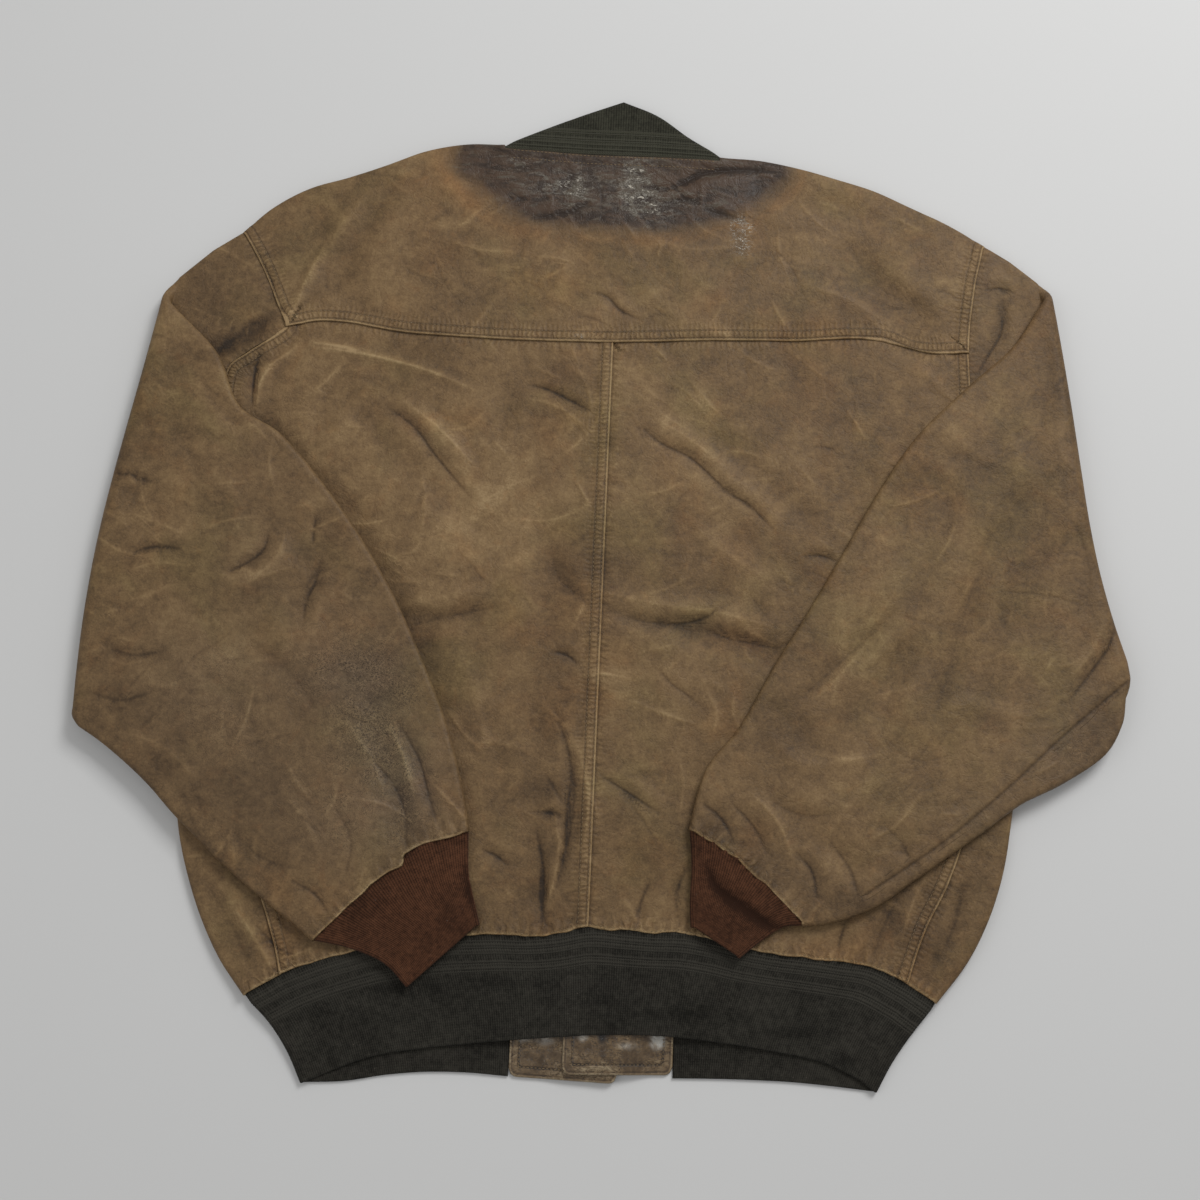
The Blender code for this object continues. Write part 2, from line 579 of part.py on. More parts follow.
def make_fronts(left, right):
    """Both fronts.  The left one is the outer one, and the right one lies on it."""
    neck = across(FRONT_NECK, NECK_X)
    corner = across(FRONT_NECK, np.array([TAB_LEFT_X[-1]]))
    hem = across(HEM_FRONT, np.array(TAB_LEFT_X[:0:-1]))
    outline = np.vstack([front_outline(left, TAB_LEFT_X[0]), neck[1:4], corner, hem])
    cloth("front_left", "leather", LEATHER, side_strip(left), [raised(outline, FRONT_Z)])

    hem = across(HEM_FRONT, np.array(TAB_RIGHT_X))
    corner = across(FRONT_NECK, np.array([TAB_RIGHT_X[0]]))
    outline = np.vstack([front_outline(right, TAB_RIGHT_X[-1]), neck[5:6], hem[5:6]])
    step = np.vstack([neck[4:6], hem[3:6][::-1]])
    lap = np.vstack([corner, neck[3:5], hem[:4][::-1]])
    parts = [raised(part, overlap_height(part[:, 0])) for part in (outline, step, lap)]
    cloth("front_right", "leather", LEATHER, side_strip(right), parts)


def make_collar():
    """The knitted collar: up from the neck, over its edge, and down below to the front neck."""
    edge = curve(COLLAR_EDGE, NECK_COLUMNS)
    ends = [2 * edge[0] - edge[1], 2 * edge[-1] - edge[-2]]
    out = mitres(np.vstack([ends[0], edge, ends[1]]), 1)
    axis = edge - (COLLAR_ROLL + KNIT / 2) * out
    neck, front = across(NECK_SEAM, NECK_X), across(FRONT_NECK, NECK_X)
    rise = np.linspace(0, 1, COLLAR_ROWS + 1)[:, None]
    upper = patch(axis, neck, *(np.linspace(axis[i], neck[i], COLLAR_ROWS + 1) for i in (0, -1)))
    height = (1 - rise) * (KNIT / 2 + 2 * COLLAR_ROLL) + rise * back_height(neck)
    lower = patch(axis, front, *(np.linspace(axis[i], front[i], COLLAR_ROWS + 1) for i in (0, -1)))
    halves = [lower[:, :4].copy(), lower[:, 3:].copy()]
    halves[0][1:, -1, 0] -= COLLAR_SLIT / 2
    halves[1][1:, 0, 0] += COLLAR_SLIT / 2
    lap = rise**2 * (overlap_height(halves[1][-1, :, 0]) - FRONT_Z)
    cloth("collar", "knit", KNIT, [
        raised(upper, height),
        rolled(axis, out, KNIT / 2 + 2 * COLLAR_ROLL, KNIT / 2, COLLAR_ROLL),
        raised(halves[0], KNIT / 2),
        raised(halves[1], KNIT / 2 + lap),
    ])


def band_back_height(share, plan):
    """Middle of the waistband's back wall, from the hem seam (share 0) to its edge (share 1)."""
    edge = smooth(BAND_EDGE_HEIGHT, plan[..., 0].ravel())[:, 0].reshape(plan.shape[:-1])
    return (1 - share) * back_height(plan) + share * edge


def band_fold(side):
    """Where the waistband turns round a side: the axis it rolls round, and its rolled wall."""
    top = band_back_height(np.linspace(0, 1, BAND_ROWS + 1), side["band"])
    radius = (top - KNIT / 2) / 2
    axis = side["band"] - (radius + KNIT / 2)[:, None] * side["band_out"]
    radius[0], axis[0] = ROLL, side["side_axis"][-1]
    return axis, rolled(axis, radius[:, None] * side["band_out"], top, KNIT / 2, 1)


def make_waistband(left, right):
    """One strip of knit from waist tab to waist tab: front, round the side, back, side, front."""
    (left_axis, left_roll), (right_axis, right_roll) = band_fold(left), band_fold(right)
    seams = left["side_seam"][-1], right["side_seam"][-1]
    hem = np.vstack([
        left_axis[0], (left_axis[0] + seams[0]) / 2,
        both_halves(HEM_BACK, seams[0][0], seams[1][0]),
        (right_axis[0] + seams[1]) / 2, right_axis[0],
    ])
    edge_x = np.interp(hem[:, 0], hem[[0, -1], 0], [left_axis[-1, 0], right_axis[-1, 0]])
    edge = across(BAND_EDGE_BACK, edge_x)
    edge[0], edge[-1] = left_axis[-1], right_axis[-1]
    back = patch(hem, edge, left_axis, right_axis)
    heights = band_back_height(np.linspace(0, 1, BAND_ROWS + 1)[:, None], back)
    heights[:, 0], heights[:, -1] = left_roll[0, :, 2], right_roll[0, :, 2]
    grids = [raised(back, heights), left_roll, right_roll]
    for side, axis, tab_x in ((left, left_axis, TAB_LEFT_X[0]), (right, right_axis, TAB_RIGHT_X[-1])):
        top = hem_of_front(side, tab_x)
        edge = across(BAND_EDGE_FRONT, np.linspace(tab_x, axis[-1, 0], FRONT_COLUMNS + 1))
        edge[-1] = axis[-1]
        end = np.linspace(top[0], edge[0], BAND_ROWS + 1)
        grids.append(raised(patch(top, edge, end, axis), KNIT / 2))
    cloth("waistband", "knit", KNIT, grids)


def make_tab(name, xs, ends, lapped):
    """A leather waist tab, which carries a front's edge down over the end of the waistband."""
    xs = np.array(xs)
    top = across(HEM_FRONT, xs)
    end = np.column_stack([xs, np.interp(xs, [xs[0], xs[-1]], ends)])
    down = np.linspace(0, 1, TAB_ROWS + 1)[:, None, None]
    plan = (1 - down) * top + down * end
    lift = np.interp(-plan[..., 1], *np.transpose([(-y, share) for y, share in BUTTON_LIFT]))
    if lapped:
        on = np.interp(plan[..., 0], [STEP_TOP, STEP_FOOT], [1, 0])
        height = FRONT_Z + on * (OVERLAP_RISE + BUTTON_RISE * lift)
    else:
        reach = np.interp(plan[..., 0], *np.transpose(BUTTON_REACH))
        height = FRONT_Z + BUTTON_RISE * lift * reach
    cloth(name, "tab_leather", LEATHER, [raised(plan, height)])


def make_button():
    """The button of the waist tabs: a flat disc with a softened rim, below the left tab."""
    turn = np.linspace(0, 2 * math.pi, BUTTON_FACETS, endpoint=False)
    circle = np.column_stack([np.cos(turn), np.sin(turn)])
    bm = bmesh.new()
    rings = [
        [bm.verts.new((*(BUTTON_AT + radius * point), z)) for point in circle]
        for radius, z in (
            (BUTTON_RADIUS - RIM, 0), (BUTTON_RADIUS, RIM), (BUTTON_RADIUS, BUTTON_THICK - RIM),
            (BUTTON_RADIUS - RIM, BUTTON_THICK),
        )
    ]
    bm.faces.new(rings[0][::-1])
    bm.faces.new(rings[-1])
    for low, high in zip(rings, rings[1:]):
        for k in range(BUTTON_FACETS):
            m = (k + 1) % BUTTON_FACETS
            bm.faces.new([low[k], low[m], high[m], high[k]])
    add_object("waist_button", "button", bm)


pieces = []
left = body_side(
    ARMHOLE_LEFT, SHOULDER_LEFT, SIDE_LEFT, SIDE_SEAM_LEFT, BAND_LEFT, SLEEVE_LEFT, -1
)
right = body_side(
    ARMHOLE_RIGHT, SHOULDER_RIGHT, SIDE_RIGHT, SIDE_SEAM_RIGHT, BAND_RIGHT, SLEEVE_RIGHT, 1
)
make_fronts(left, right)
make_yoke(left, right)
make_back("back_left", left)
make_back("back_right", right)
for word, side, sleeve, sections, cuff in (
    ("left", left, SLEEVE_LEFT, SECTIONS_LEFT, CUFF_LEFT),
    ("right", right, SLEEVE_RIGHT, SECTIONS_RIGHT, CUFF_RIGHT),
):
    rings = sleeve_rings(side, sleeve, sections)
    cloth("sleeve_" + word, "leather", LEATHER, [rings], closed=True)
    cuff_sections = cuff_rings(rings[-1], sections, cuff, side["turn"])
    cloth("cuff_" + word, "cuff_knit", KNIT, [cuff_sections], closed=True)
make_collar()
make_waistband(left, right)
make_tab("waist_tab_left", TAB_LEFT_X, TAB_LEFT_END, lapped=False)
make_tab("waist_tab_right", TAB_RIGHT_X, TAB_RIGHT_END, lapped=True)
sew()
make_button()
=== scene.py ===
import math

import bmesh
import bpy
import numpy as np
from mathutils import Matrix, Vector


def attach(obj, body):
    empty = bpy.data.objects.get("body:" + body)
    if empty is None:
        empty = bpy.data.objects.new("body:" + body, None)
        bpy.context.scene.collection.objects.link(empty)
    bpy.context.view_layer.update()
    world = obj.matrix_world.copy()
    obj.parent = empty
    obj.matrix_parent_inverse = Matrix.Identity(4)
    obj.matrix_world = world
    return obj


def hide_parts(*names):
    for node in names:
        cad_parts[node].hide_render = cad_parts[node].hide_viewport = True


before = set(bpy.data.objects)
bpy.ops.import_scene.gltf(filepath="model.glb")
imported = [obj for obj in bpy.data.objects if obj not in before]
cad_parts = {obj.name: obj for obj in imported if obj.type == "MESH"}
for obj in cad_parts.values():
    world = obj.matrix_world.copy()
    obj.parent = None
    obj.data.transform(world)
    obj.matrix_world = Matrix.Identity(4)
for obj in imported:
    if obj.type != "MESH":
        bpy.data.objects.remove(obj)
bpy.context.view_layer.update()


# ------------------------------------------------------------------------------------------------
# The yoke: one piece of hide across both shoulders, on its lining.  It rolls over the shoulders to
# meet the fronts, and its lower edge is turned under, lapped over the back and stitched twice.

LEATHER = 0.0020  # the hide with its lining
LAID = 0.0085  # front and back, or the two sides of a sleeve, laid on each other
CENTRE = -0.0025  # x of the centre-back seam
FRONT_Z = 0.0012  # middle of a wall that lies on the surface
BACK_Z = LAID - FRONT_Z  # middle of the back's wall
INSET = LAID / 2  # from an edge's outline to the axis that the wall rolls round
ROLL = INSET - FRONT_Z  # radius of the wall's middle round that axis
HALF_TURN = np.linspace(math.pi / 2, -math.pi / 2, 13)[:, None]  # a rolled edge's angles
SEAM_LAP, TUCK = 0.0012, 0.004  # how far the piece below slips under a seam, over what distance
LAP_RISE = 0.0007  # how much higher a lapped edge's doubled hide lies
LAP_WIDTH = 0.0092
ROW_EDGE, ROW_INNER = 0.0018, 0.0080  # the two stitch rows' distance from the edge
STITCH_PITCH, STITCH_TRIM = 0.0031, 0.004  # a row's beat, and what stays free at its ends
STITCH_LENGTH, STITCH_RADIUS = 0.0023, 0.00026
STITCH_RISE = LEATHER / 2  # from the middle of the hide's wall to its face
# A stitch's rings: the place along it, the radius and the lift, as shares of length and radius.
SPINDLE = [(-0.5, 0.35, -0.8), (-0.2, 1, 0.35), (0.2, 1, 0.35), (0.5, 0.35, -0.8)]
MERGE = 1.5e-5  # grids are joined where their points are closer than this
GROWTH = 0.22  # how fast a grid's spacing grows away from a fine end
DEEPEST = 0.0030  # of the large hollows
ROOM_BELOW, ROOM_ABOVE = 0.0033, 0.0042  # what all relief together may take
TONE_BACK, TONE_FRONT = 0.54, 0.52  # the hide's own tone, from 0 for dark to 1 for light
FAR = 0.2  # the distance kept for a seam or a crease where none is near
SEAM_KINDS = ("lapping", "lapped", "gathered", "plain")
NO_SEAMS = {
    **{kind + "_off": FAR for kind in SEAM_KINDS}, **{kind + "_along": 0.0 for kind in SEAM_KINDS}
}

ARMHOLE_LEFT = [
    (-0.2961, 0.2571), (-0.2885, 0.2450), (-0.2800, 0.2300), (-0.2725, 0.2145), (-0.2645, 0.1970),
    (-0.2575, 0.1815), (-0.2845, 0.1600), (-0.3015, 0.1400), (-0.2990, 0.0850), (-0.2900, 0.0200),
    (-0.2860, -0.0350), (-0.2980, -0.0680), (-0.3105, -0.0867),
]
ARMHOLE_RIGHT = [
    (0.2847, 0.2687), (0.2825, 0.2575), (0.2790, 0.2410), (0.2765, 0.2225), (0.2745, 0.2030),
    (0.2735, 0.1825), (0.2745, 0.1500), (0.2745, 0.1100), (0.2755, 0.0700), (0.2780, 0.0350),
    (0.2850, 0.0050), (0.2965, -0.0180), (0.3075, -0.0339),
]
SHOULDER_LEFT = [
    (-0.2985, 0.2605), (-0.2715, 0.2865), (-0.2500, 0.2995), (-0.2245, 0.3085), (-0.1945, 0.3200),
    (-0.1425, 0.3405), (-0.1175, 0.3440), (-0.0945, 0.3440),
]
SHOULDER_RIGHT = [
    (0.2865, 0.2725), (0.2615, 0.2875), (0.2345, 0.3005), (0.2035, 0.3145), (0.1555, 0.3285),
    (0.1275, 0.3355), (0.0935, 0.3400), (0.0745, 0.3400),
]
YOKE_SEAM = [
    (-0.2575, 0.1815), (-0.2315, 0.1875), (-0.2155, 0.1875), (-0.1685, 0.1815), (-0.0905, 0.1785),
    (-0.0025, 0.1795), (0.0645, 0.1835), (0.1415, 0.1865), (0.1885, 0.1905), (0.2075, 0.1900),
    (0.2305, 0.1825), (0.2735, 0.1825),
]
NECK_SEAM = [(-0.0945, 0.33975), (-0.0355, 0.3375), (0.0285, 0.3370), (0.0745, 0.33575)]
FOLD_LEFT = [(-0.3440, 0.2220), (-0.3820, -0.1240)]  # where each sleeve turns back over itself
FOLD_RIGHT = [(0.3262, 0.2450), (0.3808, -0.0580)]

# The large hollows in the layer that lies on the fronts, in millimetres: from x, y to x, y, half
# width, depth.
LAID_HOLLOWS = [
    (-47, 30, -40, -40, 14, 2.2), (-205, 125, -100, 30, 13, 2), (70, -45, 150, -70, 13, 2.6),
    (85, 100, 150, 45, 12, 1.6), (180, 260, 235, 198, 15, 2.8), (-240, 262, -205, 205, 16, 2.2),
    (-45, -125, -43, -245, 12, 2), (110, 315, 200, 290, 12, 1.4), (-330, 150, -280, 178, 12, 2.2),
    (-268, 100, -200, 30, 13, 2.4), (-200, 30, -142, -55, 13, 2.6),
    (-142, -55, -110, -125, 12, 1.6), (258, 98, 195, 30, 11, 1.2),
]
# Its creases, in millimetres: the line that each one follows, its half width, and its height
# (below zero: a trough).
LAID_CREASES = [
    ([(-22, 220), (-11, 218), (2, 206), (18, 198)], 2.6, -1.2),
    ([(181, 264), (205, 234), (230, 219), (245, 199)], 8.1, -2.3),
    ([(141, 235), (180, 222), (216, 200)], 8.1, 1.5),
    ([(-203, 295), (-223, 264), (-236, 232), (-256, 197)], 8.1, 2.1),
    ([(-176, 310), (-195, 278), (-212, 243), (-224, 207)], 8.9, -1.5),
    ([(-97, 298), (-85, 298), (-75, 296)], 3, -1.1),
    ([(116, 328), (88, 328), (60, 323), (39, 311), (13, 311)], 4.5, -2),
    ([(32, 297), (47, 301), (63, 299)], 3.5, -1.3),
    ([(-75, 279), (-57, 283), (-38, 289), (-26, 298)], 4, -1.5),
    ([(64, 294), (81, 289), (105, 288)], 3.5, -1.2),
    ([(-143, 262), (-114, 252), (-79, 251)], 6.5, 1),
    ([(15, 270), (54, 259), (98, 264)], 7.3, 0.9),
    ([(-262, 204), (-277, 195), (-293, 181), (-315, 162)], 5.7, 1.3),
    ([(-256, 201), (-277, 187), (-293, 175), (-304, 166), (-330, 148)], 7.8, -3.8),
    ([(-231, 257), (-241, 231), (-250, 204), (-256, 186)], 3.6, 1),
    ([(-246, 167), (-253, 161), (-264, 152), (-273, 137), (-275, 111)], 4.2, 1.3),
    ([(-240, 170), (-222, 168), (-203, 165), (-195, 163)], 3.5, 1),
    ([(-242, 122), (-227, 135), (-210, 155)], 3.5, 0.9),
    ([(-275, 166), (-279, 141), (-278, 114)], 4.9, -1.7),
    ([(300, 230), (299, 202), (285, 175), (275, 155)], 5.7, -2.3),
    ([(285, 235), (298, 237), (310, 233)], 3.5, -1.5),
    ([(-281, 234), (-271, 216), (-273, 199)], 6.5, -1.5),
    ([(-238, 166), (-205, 163), (-135, 147), (-108, 136)], 4.9, 1.5),
    ([(-178, 122), (-155, 107), (-135, 83), (-103, 47)], 5.8, -2.6),
    ([(-165, 127), (-133, 103), (-102, 72)], 6.2, 1.5),
    ([(-70, 143), (-51, 139), (-36, 132), (-15, 121)], 3.2, -1.5),
    ([(-73, 131), (-48, 127), (-18, 108)], 6, 0.7),
    ([(-168, -56), (-124, -44), (-79, -33)], 7.8, -3),
    ([(-158, -36), (-120, -28), (-88, -20)], 8.5, 1),
    ([(-42, 13), (-38, -5), (-12, -30)], 8.1, -2.1),
    ([(-38, -66), (-28, -68), (-18, -75)], 3.6, -1.5),
    ([(20, 113), (38, 99), (58, 90), (85, 67), (111, 48)], 4.9, -1.8),
    ([(28, 122), (59, 103), (90, 80)], 6.6, 0.7),
    ([(80, 66), (103, 55), (126, 33)], 4.5, -1.3),
    ([(-10, -29), (26, -39), (71, -46), (133, -59)], 8.1, -2.4),
    ([(-5, -18), (33, -26), (80, -31), (139, -44)], 7.3, 1.2),
    ([(68, -41), (92, -50), (132, -56)], 4, -1.3),
    ([(16, -38), (39, -41), (68, -38), (93, -24)], 4.5, -1.3),
    ([(148, 15), (160, 16), (174, 12)], 4, -1.3),
    ([(2, -157), (26, -171), (46, -183)], 4.5, -1.5),
    ([(-29, -131), (-20, -150), (-19, -198), (-28, -243)], 7.3, -2.4),
    ([(-16, -135), (-7, -168), (-9, -219)], 5.7, 0.9),
    ([(-38, -214), (-38, -249), (-32, -273)], 5.7, -2.1),
    ([(-40, -186), (-33, -186), (-25, -189)], 4, -1.3),
    ([(-84, -214), (-73, -218), (-63, -225)], 4.9, -1.5),
    ([(-90, -105), (-73, -149), (-67, -192)], 10.5, -1.2),
    ([(-111, -68), (-92, -105), (-83, -149)], 8.9, 1.1),
    ([(41, -231), (34, -249), (32, -267)], 5.7, -1.5),
    ([(69, -216), (60, -241), (63, -266)], 6.5, -1.5),
    ([(186, -250), (180, -264), (177, -279)], 5.7, -1.5),
    ([(222, -234), (211, -256), (202, -280)], 7.3, -1.7),
    ([(243, -215), (232, -237), (222, -270)], 6.5, 1.1),
    ([(269, -222), (261, -254), (247, -285)], 7.3, -1.5),
    ([(-282, -245), (-260, -276), (-242, -310)], 8.1, -1.7),
    ([(-263, -258), (-244, -282), (-228, -305)], 5.7, 1.2),
    ([(-243, -275), (-223, -292), (-209, -297)], 5.7, -1.3),
    ([(-210, 156), (-224, 115), (-216, 91)], 10.5, -1.3),
    ([(61, 40), (85, 17), (123, -5)], 8.1, 0.9),
    ([(-70, 73), (-99, 49), (-112, 13)], 12.1, 1.1),
    ([(-36, -103), (-20, -157), (-22, -183), (-22, -209), (-31, -253)], 3, -1.1),
    ([(-44, -196), (-37, -228), (-37, -269)], 2.9, -1.2),
    ([(-48, -186), (-37, -185), (-26, -187)], 2.6, -0.7),
    ([(-26, -195), (-28, -227), (-34, -259)], 4.8, 1),
    ([(-41, -155), (-31, -169), (-23, -182)], 2.7, -0.6),
    ([(39, -74), (52, -87), (65, -96), (77, -105)], 3.4, -0.8),
    ([(77, -90), (85, -106), (82, -129)], 6, 0.8),
]


def smooth(table, at):
    """Values between a table's rows, keyed by its first column: cubics that pass through every row
    with the slope of its neighbours."""
    rows = np.array(table, float)
    keys, values = rows[:, 0], rows[:, 1:]
    slopes = np.gradient(values, keys, axis=0)
    at = np.asarray(at, float)
    i = np.clip(np.searchsorted(keys, at, side="right") - 1, 0, len(keys) - 2)
    span = (keys[i + 1] - keys[i])[:, None]
    t = (at[:, None] - keys[i][:, None]) / span
    start = (2 * t**3 - 3 * t**2 + 1) * values[i] + (t**3 - 2 * t**2 + t) * span * slopes[i]
    return start + (3 * t**2 - 2 * t**3) * values[i + 1] + (t**3 - t**2) * span * slopes[i + 1]


def across(table, xs):
    """Points of a seam or hem at the given x."""
    return np.column_stack([xs, smooth(table, xs)[:, 0]])


def whole(table, count):
    """Evenly spaced points of a seam or hem from end to end."""
    return across(table, np.linspace(table[0][0], table[-1][0], count))


def both_ways(low, high, count):
    """x from low to the centre seam and on to high, evenly spaced on each side."""
    return np.append(np.linspace(low, CENTRE, count), np.linspace(CENTRE, high, count)[1:])


def finer(rows, at, corners=()):
    """Rows between the given ones, on smooth curves through them that may turn at corners."""
    rows, at = np.array(rows, float), np.asarray(at, float)
    flat = rows.reshape(len(rows), -1)
    result = np.empty((len(at), flat.shape[1]))
    stops = [0, *corners, len(rows) - 1]
    for low, high in zip(stops[:-1], stops[1:]):
        inside = (at >= low) & (at <= high)
        result[inside] = smooth(
            np.column_stack([np.arange(low, high + 1), flat[low : high + 1]]), at[inside]
        )
    return result.reshape(len(at), *rows.shape[1:])


def finer_grid(grid, down, along, down_corners=(), along_corners=()):
    """A grid filled in between its rows and its columns in the same way."""
    tall = finer(grid, down, down_corners)
    return finer(tall.swapaxes(0, 1), along, along_corners).swapaxes(0, 1)


def travelled(points):
    """How far along a line of points each of them is."""
    return np.append(0, np.cumsum(np.linalg.norm(np.diff(points, axis=0), axis=1)))


def read_off(at, keys, rows):
    """Rows between the given ones, on straight lines."""
    return np.column_stack([np.interp(at, keys, column) for column in np.transpose(rows)])


def curve(points, steps):
    """Evenly spaced points on the smooth curve through a short list of points."""
    points = np.array(points, float)
    chord = travelled(points)
    fine = smooth(np.column_stack([chord, points]), np.linspace(0, chord[-1], 40 * steps))
    length = travelled(fine)
    return read_off(np.linspace(0, length[-1], steps + 1), length, fine)


def mitres(edge, side, before=None, after=None):
    """Outward offset of each point of an edge for an offset of one: half the sum of the normals on
    its two sides, lengthened so that both sides move out by one.  Where no point is given before or
    after it, the edge goes straight on."""
    start = 2 * edge[0] - edge[1] if before is None else before
    end = 2 * edge[-1] - edge[-2] if after is None else after
    step = np.diff(np.vstack([start, edge, end]), axis=0)
    step /= np.linalg.norm(step, axis=1)[:, None]
    normal = side * np.column_stack([-step[:, 1], step[:, 0]])
    return (normal[:-1] + normal[1:]) / (1 + (normal[:-1] * normal[1:]).sum(axis=1))[:, None]


def patch(top, bottom, left, right):
    """A grid that fills four edges: the blend of top and bottom, plus the blend of left and right,
    less the blend of the corners (a Coons patch)."""
    u = np.linspace(0, 1, len(top))[None, :, None]
    v = np.linspace(0, 1, len(left))[:, None, None]
    rows = (1 - v) * top[None] + v * bottom[None]
    columns = (1 - u) * left[:, None] + u * right[:, None]
    corners = (1 - v) * ((1 - u) * top[0] + u * top[-1])
    corners = corners + v * ((1 - u) * bottom[0] + u * bottom[-1])
    return rows + columns - corners


def steps_between(count, length, step, near_start=None, near_end=None):
    """Stations from 0 to count whose spacing is the step, and grows to it from a finer one at each
    end that is given: the running sum of one over the wished spacing, read at whole numbers."""
    at = np.linspace(0, length, 4000)
    wished = np.minimum(step, np.minimum(
        (near_start or step) + GROWTH * at, (near_end or step) + GROWTH * (length - at)
    ))
    number = np.append(0, np.cumsum(np.diff(at) / wished[1:]))
    whole = np.linspace(0, number[-1], math.ceil(number[-1]) + 1)
    return np.interp(whole, number, at) / length * count


def raised(plan, z):
    """A plan grid with its heights added."""
    return np.concatenate([plan, np.broadcast_to(z, plan.shape[:-1])[..., None]], axis=-1)


def beside(plan, line):
    """How far each point lies from a line of points, above zero on the line's left, how far along
    the line its nearest point is, and the line's length: the least distance to any segment."""
    line = np.array(line, float)
    nearest = np.full(plan.shape[:-1], np.inf)
    side, along = np.ones_like(nearest), np.zeros_like(nearest)
    passed = 0.0
    for start, end in zip(line[:-1], line[1:]):
        run = end - start
        length = math.hypot(*run)
        x, y = plan[..., 0] - start[0], plan[..., 1] - start[1]
        t = np.clip((x * run[0] + y * run[1]) / length**2, 0, 1)
        away = np.hypot(x - t * run[0], y - t * run[1])
        closer = away < nearest
        nearest = np.where(closer, away, nearest)
        side = np.where(closer, np.where(run[0] * y - run[1] * x >= 0, 1.0, -1.0), side)
        along = np.where(closer, passed + t * length, along)
        passed += length
    return nearest * side, along, passed


def ease(value, low, high):
    """0 below low, 1 above high, and a smooth rise between them."""
    t = np.clip((value - low) / (high - low), 0, 1)
    return t * t * (3 - 2 * t)


def bell(away, width):
    """A bell round zero: e to the power of minus the squared distance over the width."""
    return np.exp(-((away / width) ** 2))


def waves(plan, size, seed):
    """Uneven soft heights from -1 to 1: random values on a turned square net of the given mesh,
    blended between its knots with an eased step."""
    net = np.random.default_rng(seed).uniform(-1, 1, (64, 64))
    angle = 1.7 * seed
    spin = np.array([[math.cos(angle), -math.sin(angle)], [math.sin(angle), math.cos(angle)]])
    at = plan @ spin / size + 11.3
    cell = np.floor(at).astype(int)
    t = at - cell
    t = t * t * (3 - 2 * t)
    i, j = cell[..., 0] % 64, cell[..., 1] % 64
    k, m = (i + 1) % 64, (j + 1) % 64
    low = net[i, j] * (1 - t[..., 0]) + net[k, j] * t[..., 0]
    high = net[i, m] * (1 - t[..., 0]) + net[k, m] * t[..., 0]
    return low * (1 - t[..., 1]) + high * t[..., 1]


def blurred(values, reach):
    """The mean over reach points each way, along the rows and then down the columns."""
    for axis in (0, 1):
        edges = [(reach, reach) if axis == k else (0, 0) for k in (0, 1)]
        padded = np.pad(values, edges, mode="edge")
        count = values.shape[axis]
        moved = [np.take(padded, np.arange(k, k + count), axis) for k in range(2 * reach + 1)]
        values = np.mean(moved, axis=0)
    return values


def hollows(plan, table):
    """Depth of the large hollows: a bell across each row's line."""
    depth = np.zeros(plan.shape[:-1])
    for x0, y0, x1, y1, width, deep in np.array(table) / 1000:
        depth += deep * bell(beside(plan, [(x0, y0), (x1, y1)])[0], width)
    return np.minimum(depth, DEEPEST)


def drawn(table):
    """A table's creases in metres, their points joined by smooth lines, and how strongly each one
    shows as a fine line: the narrower and the higher or deeper, the more."""
    return [
        (curve(np.array(points) / 1000, 4 * len(points)), width / 1000, high / 1000,
         math.tanh(high / 1.2) * (1 - ease(width, 4.5, 9.5)))
        for points, width, high in table
    ]


def wrinkles(seed, count, low, high, flow):
    """Fine wrinkles strewn over a box: short bent lines that run along the flow's angle, which
    wanders from place to place; three in five are ridges painted pale, partly as rubbed wear and
    partly as painted light, the others are troughs painted dark as shade."""
    draw = np.random.default_rng(seed)
    middles = draw.uniform(low, high, (count, 2))
    angles = flow + 1.5 * waves(middles, 0.10, seed + 1) + draw.normal(0, 0.45, count)
    halves = draw.uniform(0.004, 0.012, count) * draw.uniform(1, 3.0, count)
    bends = draw.normal(0, 0.16, count)
    widths = draw.uniform(0.0018, 0.0042, count)
    strengths = draw.uniform(0.15, 0.65, count) * np.where(draw.uniform(size=count) < 0.4, -0.6, 1)
    table = []
    for middle, angle, half, bend, width, strength in zip(
        middles, angles, halves, bends, widths, strengths
    ):
        way = half * np.array([math.cos(angle), math.sin(angle)])
        side = bend * np.array([-way[1], way[0]])
        line = curve([middle - way, middle + side, middle + way], 10)
        table.append((line, width, 0.00045 * strength, strength))
    return table


def creases(plan, lines):
    """Height of the creases: across each line a bell of its half width with a sharper one on top
    and a low counter-bell on its left, along it a rise from nothing at both ends, broadest and
    highest in the middle.  With it come the distance to the nearest crease that shows as a fine
    line, above zero on its left, and how strong that one is, above zero for a ridge."""
    height, deep = np.zeros((2, *plan.shape[:-1]))
    off = np.full(plan.shape[:-1], FAR)
    for line, width, high, strength in lines:
        reach = max(4.5 * width, 0.006)
        low, top = line.min(axis=0) - reach, line.max(axis=0) + reach
        near = np.all((plan > low) & (plan < top), axis=-1)
        if not near.any():
            continue
        away, along, length = beside(plan[near], line)
        swell = np.sin(math.pi * np.clip(along / length, 0, 1)) ** 0.7
        wide = width * (0.55 + 0.45 * swell)
        crest = 0.6 * bell(away, wide) + 0.4 * np.exp(-np.abs(away) / (0.45 * wide))
        crest -= 0.38 * bell(away - 2.1 * wide, 1.3 * wide)
        height[near] += high * swell * crest
        here = strength * swell * (1 - ease(np.abs(away), 0.0028, 0.0050))
        closer = (np.abs(away) < np.abs(off[near])) & (abs(strength) > 0.05)
        off[near] = np.where(closer, away, off[near])
        deep[near] = np.where(closer, here, deep[near])
    return height, off, deep


